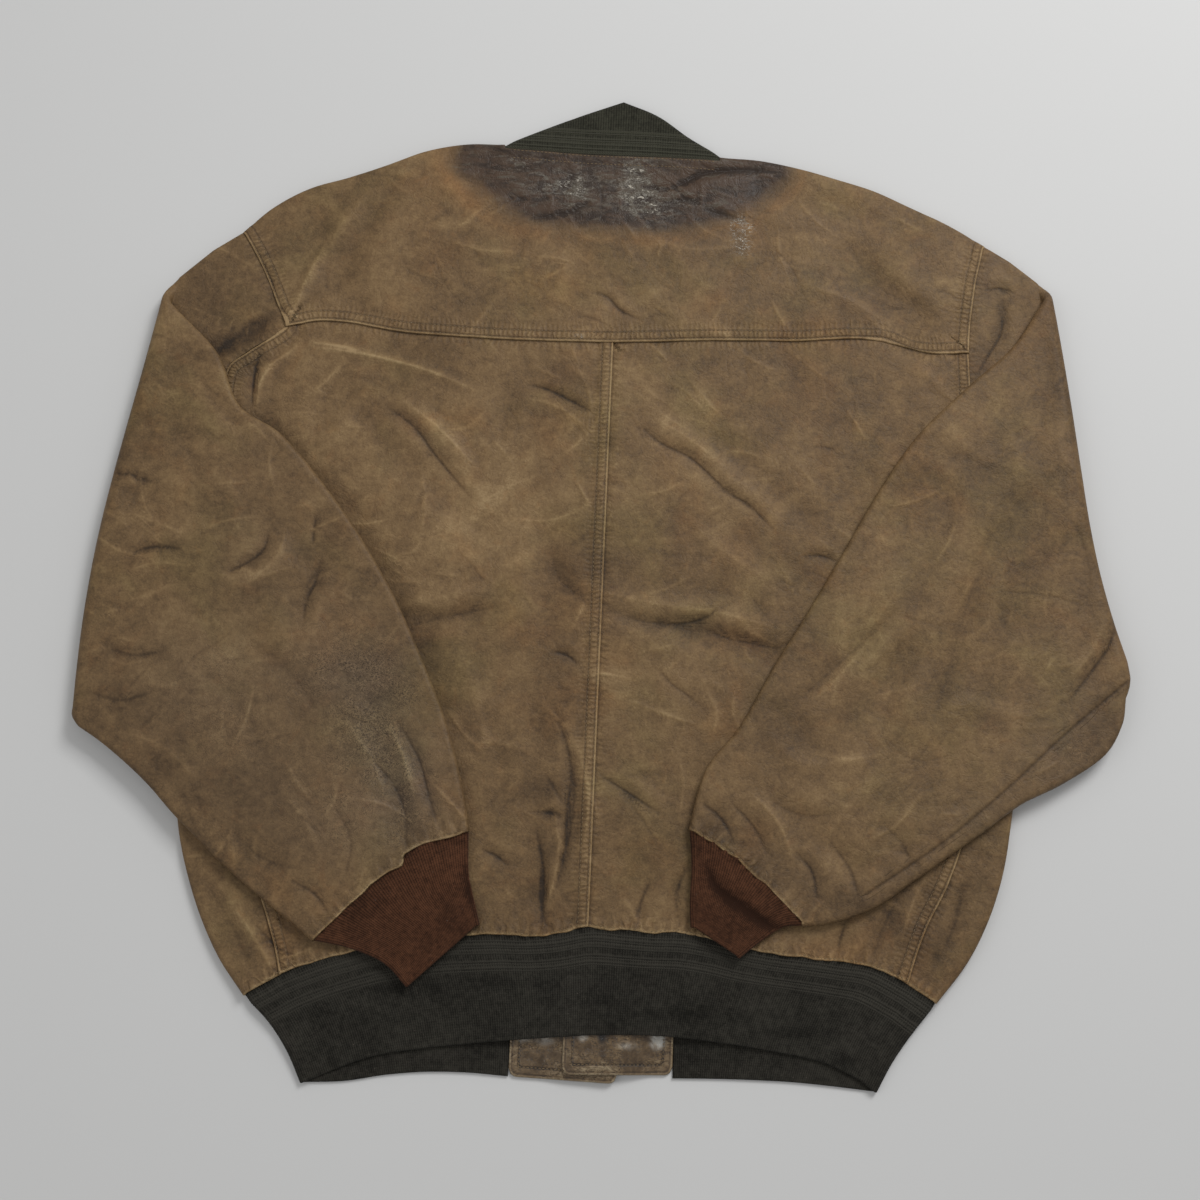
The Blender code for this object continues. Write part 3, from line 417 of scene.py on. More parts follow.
def crumple(plan, seed):
    """The hide's own unevenness, on a plan that slow waves bend: three sizes of soft waves, and two
    sizes of folds (one less a wave's distance from zero, to a power) that come and go."""
    bend = np.stack([waves(plan, 0.055, seed + 5), waves(plan, 0.055, seed + 6)], axis=-1)
    bent = plan + 0.018 * bend
    folds = (1 - np.abs(waves(bent, 0.060, seed + 3))) ** 4
    folds = folds * ease(waves(plan, 0.075, seed + 4), -0.2, 0.8)
    pinches = (1 - np.abs(waves(bent, 0.030, seed + 7))) ** 6
    pinches = pinches * ease(waves(plan, 0.05, seed + 8), 0.0, 0.8)
    return (
        0.00100 * waves(bent, 0.060, seed) + 0.00040 * waves(bent, 0.027, seed + 1)
        + 0.00010 * waves(bent, 0.0125, seed + 2) + 0.0011 * (folds - 0.2) - 0.0006 * pinches
    )


def limited(height):
    """Heights held within what the layer below and the folds above leave free."""
    room = np.where(height < 0, ROOM_BELOW, ROOM_ABOVE)
    return room * np.tanh(height / room)


def gathers(along, off, pitch, high, seed):
    """Ripples that run in from a gathered seam and die out: a sine along it whose beat wanders."""
    line = np.stack([along, np.zeros_like(along)], axis=-1)
    wander = 2.6 * waves(line, 2.5 * pitch, seed)
    strength = 0.55 + 0.45 * waves(line, 3.5 * pitch, seed + 1)
    reach = 0.0125 + 0.0085 * waves(line, 2.1 * pitch, seed + 2)
    beat = 2 * math.pi * along / pitch
    ripple = np.sin(beat + wander) + 0.4 * np.sin(2.3 * beat)
    return high * strength * ripple * bell(off, reach)


def seam_height(off, along, kind, seed):
    """Height beside a seam, by the distance from it: a lapping edge is a band of doubled hide with
    a rounded lip, a lapped one dips below it, and a gathered one puffs up and ripples."""
    line = np.stack([along, 0.6 * off], axis=-1)
    pull = 0.00042 * waves(line, 0.012, seed) + 0.00022 * waves(line, 0.005, seed + 1)
    if kind == "lapping":
        band = LAP_RISE * (1 - ease(off, LAP_WIDTH - 0.001, LAP_WIDTH + 0.0015))
        band -= 0.0003 * bell(off - LAP_WIDTH - 0.002, 0.002)
        return band - 0.0003 * bell(off, 0.0008) + pull * bell(off - 0.007, 0.009)
    if kind == "lapped":
        return -0.0008 * bell(off, 0.0030) + pull * bell(off, 0.012)
    puff = 0.0008 * bell(off - 0.0024, 0.0032)
    if kind == "plain":
        return puff
    return puff + gathers(along, off, 0.0086, 0.00105, seed)


def rolled(axis, outward, top, bottom=FRONT_Z, radius=ROLL):
    """Rows of a wall that rolls from height top over an edge to height bottom, round the axis:
    cosine outwards, sine upwards."""
    reach = radius * np.cos(HALF_TURN)[..., None] * outward[None]
    height = (top + bottom) / 2 + (top - bottom) / 2 * np.sin(HALF_TURN)
    return raised(axis[None] + reach, height)


def placed(name, data):
    """A new object in the scene."""
    made = bpy.data.objects.new(name, data)
    bpy.context.scene.collection.objects.link(made)
    return made


def shell(name, wall, grids, finish):
    """A closed wall round a middle surface.  The grids are joined where they share an edge, every
    point moves half the wall out and half in along the surface's normal, and a rounded rim closes
    each free edge."""
    names = sorted({key for _, marks in grids for key in marks})
    start, quads, points = 0, [], []
    marks = {key: [] for key in names}
    for grid, own in grids:
        rows, columns = grid.shape[:2]
        index = start + np.arange(rows * columns).reshape(rows, columns)
        corners = [index[:-1, :-1], index[1:, :-1], index[1:, 1:], index[:-1, 1:]]
        quads.append(np.stack(corners, axis=-1).reshape(-1, 4))
        points.append(grid.reshape(-1, 3))
        for key in names:
            marks[key].append(np.broadcast_to(own.get(key, 0.0), (rows, columns)).ravel())
        start += rows * columns
    middle = bpy.data.meshes.new(name + "_middle")
    middle.from_pydata(np.vstack(points), [], np.vstack(quads).tolist())
    for key in names:
        layer = middle.attributes.new(key, "FLOAT", "POINT")
        layer.data.foreach_set("value", np.concatenate(marks[key]).astype(np.float32))
    bm = bmesh.new()
    bm.from_mesh(middle)
    bmesh.ops.remove_doubles(bm, verts=bm.verts, dist=MERGE)
    bmesh.ops.recalc_face_normals(bm, faces=bm.faces)
    bm.to_mesh(middle)
    bm.free()

    count, loops, faces = len(middle.vertices), len(middle.loops), len(middle.polygons)
    co, normal = np.empty(3 * count), np.empty(3 * count, np.float32)
    middle.vertices.foreach_get("co", co)
    middle.vertex_normals.foreach_get("vector", normal)
    co, normal = co.reshape(-1, 3), normal.reshape(-1, 3).astype(float)
    corner, first, total = np.empty(loops, int), np.empty(faces, int), np.empty(faces, int)
    middle.loops.foreach_get("vertex_index", corner)
    middle.polygons.foreach_get("loop_start", first)
    middle.polygons.foreach_get("loop_total", total)
    own_first, own_total = np.repeat(first, total), np.repeat(total, total)
    place = np.arange(loops)
    following = corner[np.where(place + 1 == own_first + own_total, own_first, place + 1)]
    turned = corner[2 * own_first + own_total - 1 - place]
    free = ~np.isin(corner * count + following, following * count + corner)
    begin, end = corner[free], following[free]
    rim = np.unique(np.concatenate([begin, end]))
    number = np.full(count, -1)
    number[rim] = np.arange(len(rim))
    pull = np.cross(normal[begin], co[end] - co[begin])
    pull /= np.linalg.norm(pull, axis=1)[:, None]
    draw = np.zeros((count, 3))
    np.add.at(draw, begin, pull)
    np.add.at(draw, end, pull)
    draw[rim] /= np.maximum(np.linalg.norm(draw[rim], axis=1), 1e-9)[:, None]
    outer = co + wall / 2 * normal + 0.3 * wall * draw
    inner = co - wall / 2 * normal + 0.3 * wall * draw
    lip = co[rim] + 0.02 * wall * draw[rim]
    solid = np.vstack([outer, inner, lip])
    solid[:, 2] = np.maximum(solid[:, 2], 0)
    lip_of = 2 * count + number
    sides = np.vstack([
        np.column_stack([end, begin, lip_of[begin], lip_of[end]]),
        np.column_stack([lip_of[end], lip_of[begin], begin + count, end + count]),
    ])
    all_corners = np.concatenate([corner, turned + count, sides.ravel()])
    totals = np.concatenate([total, total, np.full(len(sides), 4)])
    mesh = bpy.data.meshes.new(name)
    mesh.vertices.add(len(solid))
    mesh.vertices.foreach_set("co", solid.ravel())
    mesh.loops.add(len(all_corners))
    mesh.loops.foreach_set("vertex_index", all_corners)
    mesh.polygons.add(len(totals))
    mesh.polygons.foreach_set("loop_start", np.append(0, np.cumsum(totals)[:-1]))
    mesh.update(calc_edges=True)
    for key in names:
        values = np.empty(count, np.float32)
        middle.attributes[key].data.foreach_get("value", values)
        layer = mesh.attributes.new(key, "FLOAT", "POINT")
        layer.data.foreach_set("value", np.concatenate([values, values, values[rim]]))
    mesh.shade_smooth()
    mesh.validate()
    bpy.data.meshes.remove(middle)
    mesh.materials.append(finish)
    return placed(name, mesh)


def sewn_on(made, node):
    """Lets a piece stand for its node."""
    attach(made, "root")
    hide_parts(node)


class Shade:
    """Wraps a shader value, so that arithmetic on it adds Math nodes to its material."""

    def __init__(self, socket):
        self.socket = socket

    def node(self, kind, settings=(), sockets=(), output=0):
        """A node of the same material: its settings first, then its sockets' values or links."""
        tree = self.socket.id_data
        made = tree.nodes.new(kind)
        for key, value in dict(settings).items():
            setattr(made, key, value)
        for key, value in dict(sockets).items():
            if isinstance(value, Shade):
                tree.links.new(value.socket, made.inputs[key])
            else:
                made.inputs[key].default_value = value
        return Shade(made.outputs[output])

    def math(self, operation, *values):
        return self.node("ShaderNodeMath", {"operation": operation}, dict(enumerate(values)))

    def __add__(self, other):
        return self.math("ADD", self, other)

    __radd__ = __add__

    def __sub__(self, other):
        return self.math("SUBTRACT", self, other)

    def __rsub__(self, other):
        return self.math("SUBTRACT", other, self)

    def __mul__(self, other):
        return self.math("MULTIPLY", self, other)

    __rmul__ = __mul__

    def __truediv__(self, other):
        return self.math("DIVIDE", self, other)

    def __pow__(self, other):
        return self.math("POWER", self, other)

    def __abs__(self):
        return self.math("ABSOLUTE", self)

    def sine(self):
        return self.math("SINE", self)

    def at_most(self, limit):
        return self.math("MINIMUM", self, limit)

    def at_least(self, limit):
        return self.math("MAXIMUM", self, limit)

    def rise(self, low, high):
        """0 below low, 1 above high, and a smooth step between them."""
        return self.node(
            "ShaderNodeMapRange", {"interpolation_type": "SMOOTHSTEP"},
            {"Value": self, "From Min": low, "From Max": high},
        )

    def bell(self, middle, width):
        """A bell round a middle: e to the power of minus the squared distance over the width."""
        away = (self - middle) / width
        return self.math("POWER", math.e, 0 - away * away)

    def mark(self, name):
        """A value kept at the mesh's points."""
        return self.node("ShaderNodeAttribute", {"attribute_name": name}, output="Fac")

    def noise(self, scale, detail=4.0, roughness=0.55, distortion=0.0):
        return self.node("ShaderNodeTexNoise", sockets={
            "Vector": self, "Scale": scale, "Detail": detail, "Roughness": roughness,
            "Distortion": distortion,
        })

    def moved(self, offset=(0, 0, 0), turn=(0, 0, 0), scale=(1, 1, 1)):
        return self.node("ShaderNodeMapping", sockets={
            "Vector": self, "Location": offset, "Rotation": turn, "Scale": scale,
        })

    def blend(self, first, second, how="MIX"):
        """Mixes two colours by this value."""
        first = (*first, 1) if isinstance(first, tuple) else first
        second = (*second, 1) if isinstance(second, tuple) else second
        return self.node(
            "ShaderNodeMix", {"data_type": "RGBA", "blend_type": how},
            {0: self, 6: first, 7: second}, output=2,
        )

    def ramp(self, stops):
        """The colour at this value between the stops of a table."""
        made = self.node("ShaderNodeValToRGB", sockets={0: self})
        elements = made.socket.node.color_ramp.elements
        for number, (position, colour) in enumerate(stops):
            stop = elements[number] if number < 2 else elements.new(position)
            stop.position, stop.color = position, (*colour, 1)
        return made


def new_finish(name, values=()):
    """A material, its shader with the given values, and where the material's points lie."""
    made = bpy.data.materials.new(name)
    made.use_nodes = True
    shader = made.node_tree.nodes["Principled BSDF"]
    for key, value in dict(values).items():
        shader.inputs[key].default_value = value
    place = Shade(made.node_tree.nodes.new("ShaderNodeTexCoord").outputs["Object"])
    return made, shader, place


def feed(shader, colour, roughness, height):
    """Links a material's colour, its roughness, and its height in millimetres as a bump."""
    tree = colour.socket.id_data
    tree.links.new(colour.socket, shader.inputs["Base Color"])
    tree.links.new(roughness.socket, shader.inputs["Roughness"])
    values = {"Strength": 1.0, "Distance": 0.001, "Height": height}
    bump = height.node("ShaderNodeBump", sockets=values)
    tree.links.new(bump.socket, shader.inputs["Normal"])


HIDE_TONES = [
    (0.0, (0.025, 0.0158, 0.0090)), (0.22, (0.062, 0.0369, 0.0170)),
    (0.42, (0.105, 0.0634, 0.0288)), (0.58, (0.144, 0.0880, 0.0396)),
    (0.78, (0.198, 0.1268, 0.0586)), (1.0, (0.275, 0.1870, 0.0930)),
]


def hide_finish():
    """The hide: an uneven brown between dark and light tones, more orange or more olive in places,
    paler on ridges, bulges and seam edges, partly as rubbed wear and partly as painted light, and
    darker in hollows, creases and under lapping seams as painted shade, with painted light and
    shade on the puckers and a painted sheen on the stain; with grime, stain and scuffs where they
    are marked; a fine grain, small wrinkles, and pulled stitches beside the seams."""
    made, shader, place = new_finish("leather", {"Specular IOR Level": 0.22})
    tone, fold, bulge = map(place.mark, ("tone", "fold", "bulge"))
    lap, lap_along = map(place.mark, ("lapping_off", "lapping_along"))
    gap, gap_along = map(place.mark, ("lapped_off", "lapped_along"))
    gather, hem_along = map(place.mark, ("gathered_off", "gathered_along"))
    hem = gather.at_most(place.mark("plain_off"))
    line, deep = map(place.mark, ("line_off", "line_deep"))
    grime, stain, scuff = map(place.mark, ("grime", "stain", "scuff"))

    broad = place.noise(8.0, 3.0, 0.6, 0.5)
    patchy = place.moved((3.1, 1.7, 0.4)).noise(28.0, 5.0, 0.64, 0.7)
    cloudy = place.moved((8.1, 3.7, 5.4)).noise(72.0, 4.0, 0.62, 0.9)
    fine = place.moved((1.3, 4.1, 2.2)).noise(190.0, 4.0, 0.66)
    specks = place.noise(640.0, 3.0, 0.72)
    streak = place.moved((0.7, 0.2, 0), (0, 0, 0.6), (1, 3.5, 1)).noise(60.0, 4.0, 0.6, 1.2)

    beat = (cloudy - 0.5) * 14.0
    lap_pull = (lap_along * (2 * math.pi / 0.0038) + beat).sine()
    gap_pull = (gap_along * (2 * math.pi / 0.0050) + beat).sine()
    hem_pull = (hem_along * (2 * math.pi / 0.0070) + beat * 1.3).sine()
    # pull: the puckers beside the seams, also painted lighter and darker along their ripples as
    # painted light and shade.
    pull = lap_pull * (lap.bell(0.0049, 0.0026) + lap.bell(0.0118, 0.0034) * fine * 0.9)
    pull = pull + gap_pull * gap.bell(0.0030, 0.0035) * patchy
    pull = pull + hem_pull * (1 - gather.rise(0.0015, 0.0175)) * (0.25 + patchy)
    # edge: a pale line at lapping seams and hems, partly rubbed wear and partly a painted
    # highlight; rope: the raised band between the stitch rows, a little lighter, painted light on
    # its crown.
    edge = lap.bell(0.0007, 0.0009) * (0.6 + fine * 0.8)
    edge = edge + hem.bell(0.0008, 0.0011) * (0.6 + fine * 0.9)
    rope = lap.bell(0.0049, 0.0022)
    # gutter: a painted shadow on the lapped side of a seam, where the lapping edge overhangs it.
    gutter = gap.bell(0.0, 0.0013)
    needle = lap.bell(ROW_EDGE + 0.0003, 0.0006) + lap.bell(ROW_INNER + 0.0002, 0.0007) * 0.9
    # crest: fine lines along the creases, dark in troughs as painted shade and pale on ridges,
    # partly rubbed wear and partly painted light; lip: a painted highlight beside each crease.
    crest = line.bell(0.0, 0.0013) * deep * (0.35 + patchy * 1.3)
    lip = line.bell(0.0028, 0.0016) * abs(deep) * fine

    # fold and bulge tint the hide by its relief: paler where it lies high or bulges and darker in
    # hollows, painted light and shade, partly also rubbed wear on the bulges.
    light = (
        tone + (broad - 0.5) * 0.58 + (patchy - 0.5) * 0.62 + (cloudy - 0.5) * 0.36
        + (fine - 0.5) * 0.52 + (specks - 0.5) * 0.52 + (streak - 0.5) * 0.14 + fold * 0.020
        + bulge * 0.12 + edge * 0.42 + rope * 0.06 - gutter * 0.20 - needle * 0.22 + pull * 0.11
        + crest * 0.31 + lip * 0.08
    )
    colour = light.ramp(HIDE_TONES)
    orange = place.moved((5.0, 2.0, 1.0)).noise(15.0, 4.0, 0.6, 0.6).rise(0.50, 0.72)
    olive = place.moved((9.0, 7.0, 3.0)).noise(11.0, 3.0, 0.6, 0.3).rise(0.48, 0.70)
    rust = place.moved((2.0, 6.0, 4.0)).noise(85.0, 4.0, 0.6, 0.5).rise(0.56, 0.74)
    colour = (orange * 0.45).blend(colour, (1.10, 0.93, 0.78), "MULTIPLY")
    colour = (olive * 0.65).blend(colour, (0.93, 1.02, 0.92), "MULTIPLY")
    colour = (rust * 0.28).blend(colour, (1.12, 0.90, 0.74), "MULTIPLY")
    grey = colour.node("ShaderNodeHueSaturation", sockets={"Saturation": 0.86, "Color": colour})
    colour = (grime * 0.9).at_most(1.0).blend(colour, grey)
    network = abs(place.moved((4.2, 0.3, 0)).noise(380.0, 4.0, 0.75, 0.8) - 0.5).bell(0.0, 0.019)
    dirt = (network * 1.6 + specks.rise(0.55, 0.59) * 0.8) * patchy.rise(0.30, 0.60) * grime
    colour = dirt.at_most(0.9).blend(colour, (0.0255, 0.0155, 0.0090))
    ring = stain.rise(0.01, 0.12) * (1 - stain.rise(0.15, 0.45)) * patchy.rise(0.30, 0.62)
    colour = (ring * 0.45).blend(colour, (1.16, 0.95, 0.78), "MULTIPLY")
    ragged = (patchy - 0.5) * 0.9 + (cloudy - 0.5) * 0.6 + (fine - 0.5) * 0.3
    blot = (stain + ragged * stain.rise(0.0, 0.5)).rise(0.06, 0.80)
    smear = place.moved((6.0, 1.0, 2.0), (0, 0, -0.5), (1, 2.6, 1)).noise(46.0, 4.0, 0.62, 2.2)
    # stain_sheen: greyer where the stain shines, a painted sheen on the stain.
    stain_sheen = (scuff * 0.7 + (smear - 0.5) * 2.6).rise(0.05, 0.65)
    stained = stain_sheen.blend((0.050, 0.0300, 0.0190), (0.068, 0.0575, 0.0430))
    # wear_and_relief_shade: rubbed streaks on the stain, and the stain painted paler on bulges and
    # crests and darker in its hollows as painted light and shade.
    wear_and_relief_shade = (broad - 0.5) * 0.8 + (streak - 0.5) * 1.5 + (fine - 0.5) * 0.6
    wear_and_relief_shade = wear_and_relief_shade + bulge * 0.6 + crest * 0.9
    stained = (wear_and_relief_shade + stain_sheen * 0.12).rise(-0.26, 0.26).blend((0.0215, 0.0138, 0.0098), stained)
    colour = (blot * 0.95).blend(colour, stained)
    crackle = place.moved((2.0, 8.0, 0), (0, 0, 0.9), (1, 1.8, 1)).noise(120.0, 6.0, 0.70, 1.6)
    crackle = abs(crackle - 0.5)
    flakes = crackle.bell(0.0, 0.016) * smear.rise(0.46, 0.58) + crackle.bell(0.0, 0.006) * 0.5
    scuffs = flakes * scuff
    colour = scuffs.at_most(0.9).blend(colour, (0.37, 0.345, 0.300))
    chips = place.moved((5.2, 0.4, 0), (0, 0, 0.8), (1, 1.7, 1)).noise(330.0, 3.0, 0.6, 0.8)
    chips = chips.rise(0.575, 0.615) * smear.rise(0.44, 0.56) * scuff.rise(0.35, 1.10)
    colour = (chips * 0.85).blend(colour, (0.53, 0.485, 0.405))

    roughness = (
        0.60 + (patchy - 0.5) * 0.25 + (fine - 0.5) * 0.15 - fold * 0.012 - grime * 0.08
        - blot * 0.14
    )
    wrinkle = abs(place.moved((0.3, 0.9, 0.2)).noise(85.0, 3.0, 0.55, 0.7) - 0.5)
    small = abs(place.moved((7.3, 0.9, 4.2)).noise(230.0, 3.0, 0.6, 0.5) - 0.5)
    height = (
        (patchy - 0.5) * 0.7 + (cloudy - 0.5) * 0.42 - wrinkle.bell(0.0, 0.035) * 0.13
        - small.bell(0.0, 0.05) * 0.06 + (fine - 0.5) * 0.16 + (specks - 0.5) * 0.08 + pull * 0.27
        + rope * 0.22 - needle * 0.32 + crest * 0.42 + scuffs * 0.10
    )
    feed(shader, colour, roughness, height)
    return made


leather = hide_finish()

# Soft patches of a lighter or darker tone: x, y, half width, half height, all in millimetres, and
# strength.
LAID_TONES = [
    (-305, 225, 32, 40, -0.08), (258, -235, 45, 55, -0.07), (194, 243, 45, 50, -0.08),
    (-60, -195, 40, 60, -0.06), (68, 46, 60, 55, 0.09), (-284, -262, 40, 50, 0.07),
    (-303, 204, 35, 30, -0.14), (-88, 57, 41, 53, 0.18), (-202, 100, 41, 38, 0.05),
    (-138, 0, 44, 45, 0.06), (-249, 212, 33, 45, 0.07), (-171, 216, 44, 34, 0.05),
    (-46, 225, 66, 26, 0.05), (176, 247, 44, 34, 0.06), (66, 119, 66, 41, 0.05),
    (-39, 67, 33, 45, 0.05), (-78, -59, 37, 45, 0.04), (-50, -155, 22, 38, 0.05),
    (-69, -225, 29, 30, 0.05), (-42, 137, 37, 20, -0.08), (-22, 1, 24, 41, -0.12),
    (-44, -65, 27, 21, -0.07), (71, -47, 66, 20, -0.08), (-25, -198, 16, 53, -0.10),
    # (-272, 125): painted shadow of the left sleeve on the back, by the armhole.
    (-35, -252, 13, 30, -0.08), (32, 7, 41, 34, -0.03), (-272, 125, 21, 38, -0.11),
    (-290, 146, 20, 26, -0.14), (-285, 205, 24, 20, -0.05), (-214, 60, 27, 45, -0.05),
    (225, -255, 52, 30, -0.08), (-261, -272, 29, 38, -0.04), (-16, 256, 103, 18, -0.04),
    (108, -5, 44, 38, -0.03), (189, 108, 37, 45, -0.02), (-320, 176, 29, 23, -0.08),
    (297, 202, 22, 30, -0.08), (29, -115, 37, 45, 0.03), (40, -231, 44, 30, -0.04),
    (-173, -297, 44, 15, -0.06), (135, -259, 44, 23, -0.04),
]
COLLAR_STAIN = [
    (-118, 326, 24, 14, 0.60), (-90, 314, 30, 24, 0.80), (-58, 300, 34, 24, 0.75),
    (-35, 318, 40, 27, 0.75), (-12, 292, 40, 18, 0.70), (13, 316, 40, 30, 0.80),
    (36, 296, 36, 20, 0.70), (56, 318, 40, 26, 0.80), (78, 303, 28, 16, 0.55),
    (100, 321, 24, 16, 0.60), (119, 327, 18, 12, 0.45), (-104, 341, 22, 10, 0.75),
    (-70, 338, 30, 10, 0.60), (80, 334, 24, 9, 0.55), (104, 332, 18, 8, 0.40),
]
COLLAR_SCUFFS = [
    (-38, 304, 12, 12, 0.80), (-52, 310, 22, 9, 0.55), (10, 326, 10, 9, 1.10),
    (12, 304, 12, 13, 1.40), (22, 292, 13, 8, 0.70), (-85, 326, 18, 8, 0.40),
    (-14, 314, 34, 16, 0.26), (94, 280.5, 7, 6, 3.20), (95, 264, 6, 6, 2.60),
    (50, 300, 24, 10, 0.30), (-29.5, 182.7, 3, 1.6, 2.60),
]


def patches(plan, table):
    """The sum of the table's soft patches, each one a bell."""
    total = np.zeros(plan.shape[:-1])
    for x, y, wide, high, strength in np.array(table) / [1000, 1000, 1000, 1000, 1]:
        squares = -(((plan[..., 0] - x) / wide) ** 2) - ((plan[..., 1] - y) / high) ** 2
        total += strength * np.exp(squares)
    return total


def layer_relief(plan, hollow_table, lines, seed):
    """Height of a layer that lies on another, over its plane, and its marks: in millimetres that
    height and how far it bulges over its surroundings, and the nearest narrow crease."""
    height, off, deep = creases(plan, lines)
    height = limited(height - hollows(plan, hollow_table) + crumple(plan, seed))
    bulge = height - blurred(height, 4) if plan.ndim == 3 else 0 * height
    marks = {"fold": 1000 * height, "bulge": 1000 * bulge, "line_off": off, "line_deep": deep}
    return height, marks


laid_lines = (
    drawn(LAID_CREASES) + wrinkles(7, 330, (-0.31, -0.31), (0.31, 0.36), -0.45)
    + wrinkles(17, 60, (-0.10, 0.278), (0.13, 0.335), 0.1)
)


def laid_relief(plan):
    """The relief of the layer that lies on the fronts."""
    return layer_relief(plan, LAID_HOLLOWS, laid_lines, 5)


def laid_panel(plan, edges, tone=TONE_BACK):
    """Points and marks of a panel that lies on the fronts: its layer's relief with its seams'
    height, and marks that tell the relief, the tone, stain and scuffs and, for each kind of seam,
    how far the nearest one is and how far along it."""
    height, marks = laid_relief(plan)
    marks.update(NO_SEAMS)
    for number, (line, kind) in enumerate(edges):
        off, along, _ = beside(plan, line)
        off = np.abs(off)
        height = height + seam_height(off, along, kind, 40 + 5 * number)
        closer = off < marks[kind + "_off"]
        marks[kind + "_off"] = np.where(closer, off, marks[kind + "_off"])
        marks[kind + "_along"] = np.where(closer, along, marks[kind + "_along"])
    marks.update({
        "tone": tone + patches(plan, LAID_TONES), "grime": 0.0,
        "stain": np.clip(patches(plan, COLLAR_STAIN), 0, 1),
        "scuff": np.clip(patches(plan, COLLAR_SCUFFS), 0, 1),
    })
    marks = {key: np.broadcast_to(value, height.shape) for key, value in marks.items()}
    return raised(plan, BACK_Z + height), marks


def seam_threads(name, rows):
    """Stitches: each row is (points, directions) in space; a stitch is a four-sided spindle that
    dives into the hide at both ends."""
    points, way = (np.vstack(part) for part in zip(*rows))
    way /= np.linalg.norm(way, axis=1)[:, None]
    up = np.array([0, 0, 1.0])
    across_it = np.cross(way, up)
    across_it /= np.linalg.norm(across_it, axis=1)[:, None]
    turn = np.linspace(0, 2 * math.pi, 4, endpoint=False)[None, :, None]
    rings = []
    for share, radius, lift in SPINDLE:
        middle = points + share * STITCH_LENGTH * way + lift * STITCH_RADIUS * up
        spoke = np.cos(turn) * across_it[:, None] + np.sin(turn) * up
        rings.append(middle[:, None] + radius * STITCH_RADIUS * spoke)
    first = 16 * np.arange(len(points))[:, None]
    k, level = np.arange(4), 4 * np.arange(3)[:, None]
    sides = np.stack([
        first[..., None] + level + step for step in (k, (k + 1) % 4, (k + 1) % 4 + 4, k + 4)
    ], axis=-1).reshape(-1, 4)
    caps = np.concatenate([first + end for end in (np.arange(3, -1, -1), np.arange(12, 16))])
    mesh = bpy.data.meshes.new(name)
    mesh.from_pydata(np.stack(rings, axis=1).reshape(-1, 3), [], sides.tolist() + caps.tolist())
    mesh.shade_smooth()
    mesh.materials.append(thread)
    made = placed(name, mesh)
    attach(made, "root")
    return made


def row_along(line, ways, pitch=STITCH_PITCH):
    """Stitch places along a line of points, and its direction at each of them."""
    length = travelled(line)
    at = np.arange(STITCH_TRIM, length[-1] - STITCH_TRIM, pitch)
    return read_off(at, length, line), read_off(at, length, ways)


def row_beside(line, offset, pitch=STITCH_PITCH):
    """Stitch places on a line moved to its left by the offset, and the line's direction there."""
    run = np.gradient(line, axis=0)
    run /= np.linalg.norm(run, axis=1)[:, None]
    return row_along(line + offset * np.column_stack([-run[:, 1], run[:, 0]]), run, pitch)


def stitch_rows(lines, edges, offsets=(ROW_EDGE, ROW_INNER)):
    """The stitch rows on a laid panel with the given edges, beside each given line; the panel is
    on the line's left."""
    rows = []
    for line in lines:
        for offset in offsets:
            places, ways = row_beside(line, offset)
            behind, middle, ahead = (
                laid_panel(places + step * ways, edges)[0] for step in (-0.0008, 0, 0.0008)
            )
            rows.append((middle + [0, 0, STITCH_RISE], ahead - behind))
    return rows


def thread_finish():
    """Waxed thread in the hide's own brown, a little paler where it is rubbed."""
    made, shader, place = new_finish("thread", {"Specular IOR Level": 0.2})
    colour = place.noise(160.0, 3.0).blend((0.120, 0.082, 0.043), (0.27, 0.195, 0.110))
    feed(shader, colour, 0.55 + place.noise(300.0) * 0.1, place.noise(2500.0, 2.0) * 0.04)
    return made


thread = thread_finish()
yoke_seam, neck_seam = whole(YOKE_SEAM, 140), whole(NECK_SEAM, 50)
hole_left, hole_right = np.array(ARMHOLE_LEFT), np.array(ARMHOLE_RIGHT)
armhole_left = finer(hole_left, np.linspace(0, 12, 130))
armhole_right = finer(hole_right, np.linspace(0, 12, 130))
# The part of an armhole beside each panel, and what is stitched of the yoke's part.
BY_YOKE, BY_BACK, BY_FRONT = slice(0, 56), slice(54, 108), slice(105, None)
ROW_BY_YOKE = slice(4, 54)

shoulder_left, shoulder_right = curve(SHOULDER_LEFT, 7), curve(SHOULDER_RIGHT, 7)
out_left = mitres(shoulder_left, 1, FOLD_LEFT[0])
out_right = mitres(shoulder_right, -1, FOLD_RIGHT[0])
axis_left, axis_right = shoulder_left - INSET * out_left, shoulder_right - INSET * out_right
neck_x = both_ways(NECK_SEAM[0][0], NECK_SEAM[-1][0], 4)
neck = across(NECK_SEAM, neck_x)
foot = across(YOKE_SEAM, both_ways(hole_left[5, 0], hole_right[5, 0], 11))
yoke_plan = patch(
    np.vstack([axis_left, neck[1:-1], axis_right[::-1]]), foot, hole_left[:6], hole_right[:6]
)
down = steps_between(5, 0.165, 0.0022, near_end=0.0011)
along = steps_between(20, 0.585, 0.0023, 0.001, 0.001)
yoke_plan = finer_grid(yoke_plan, down, along, (), (7, 13))
YOKE_EDGES = [
    (yoke_seam, "lapping"), (armhole_left[BY_YOKE], "lapping"), (armhole_right[BY_YOKE], "lapping"),
    (neck_seam, "plain"),
]

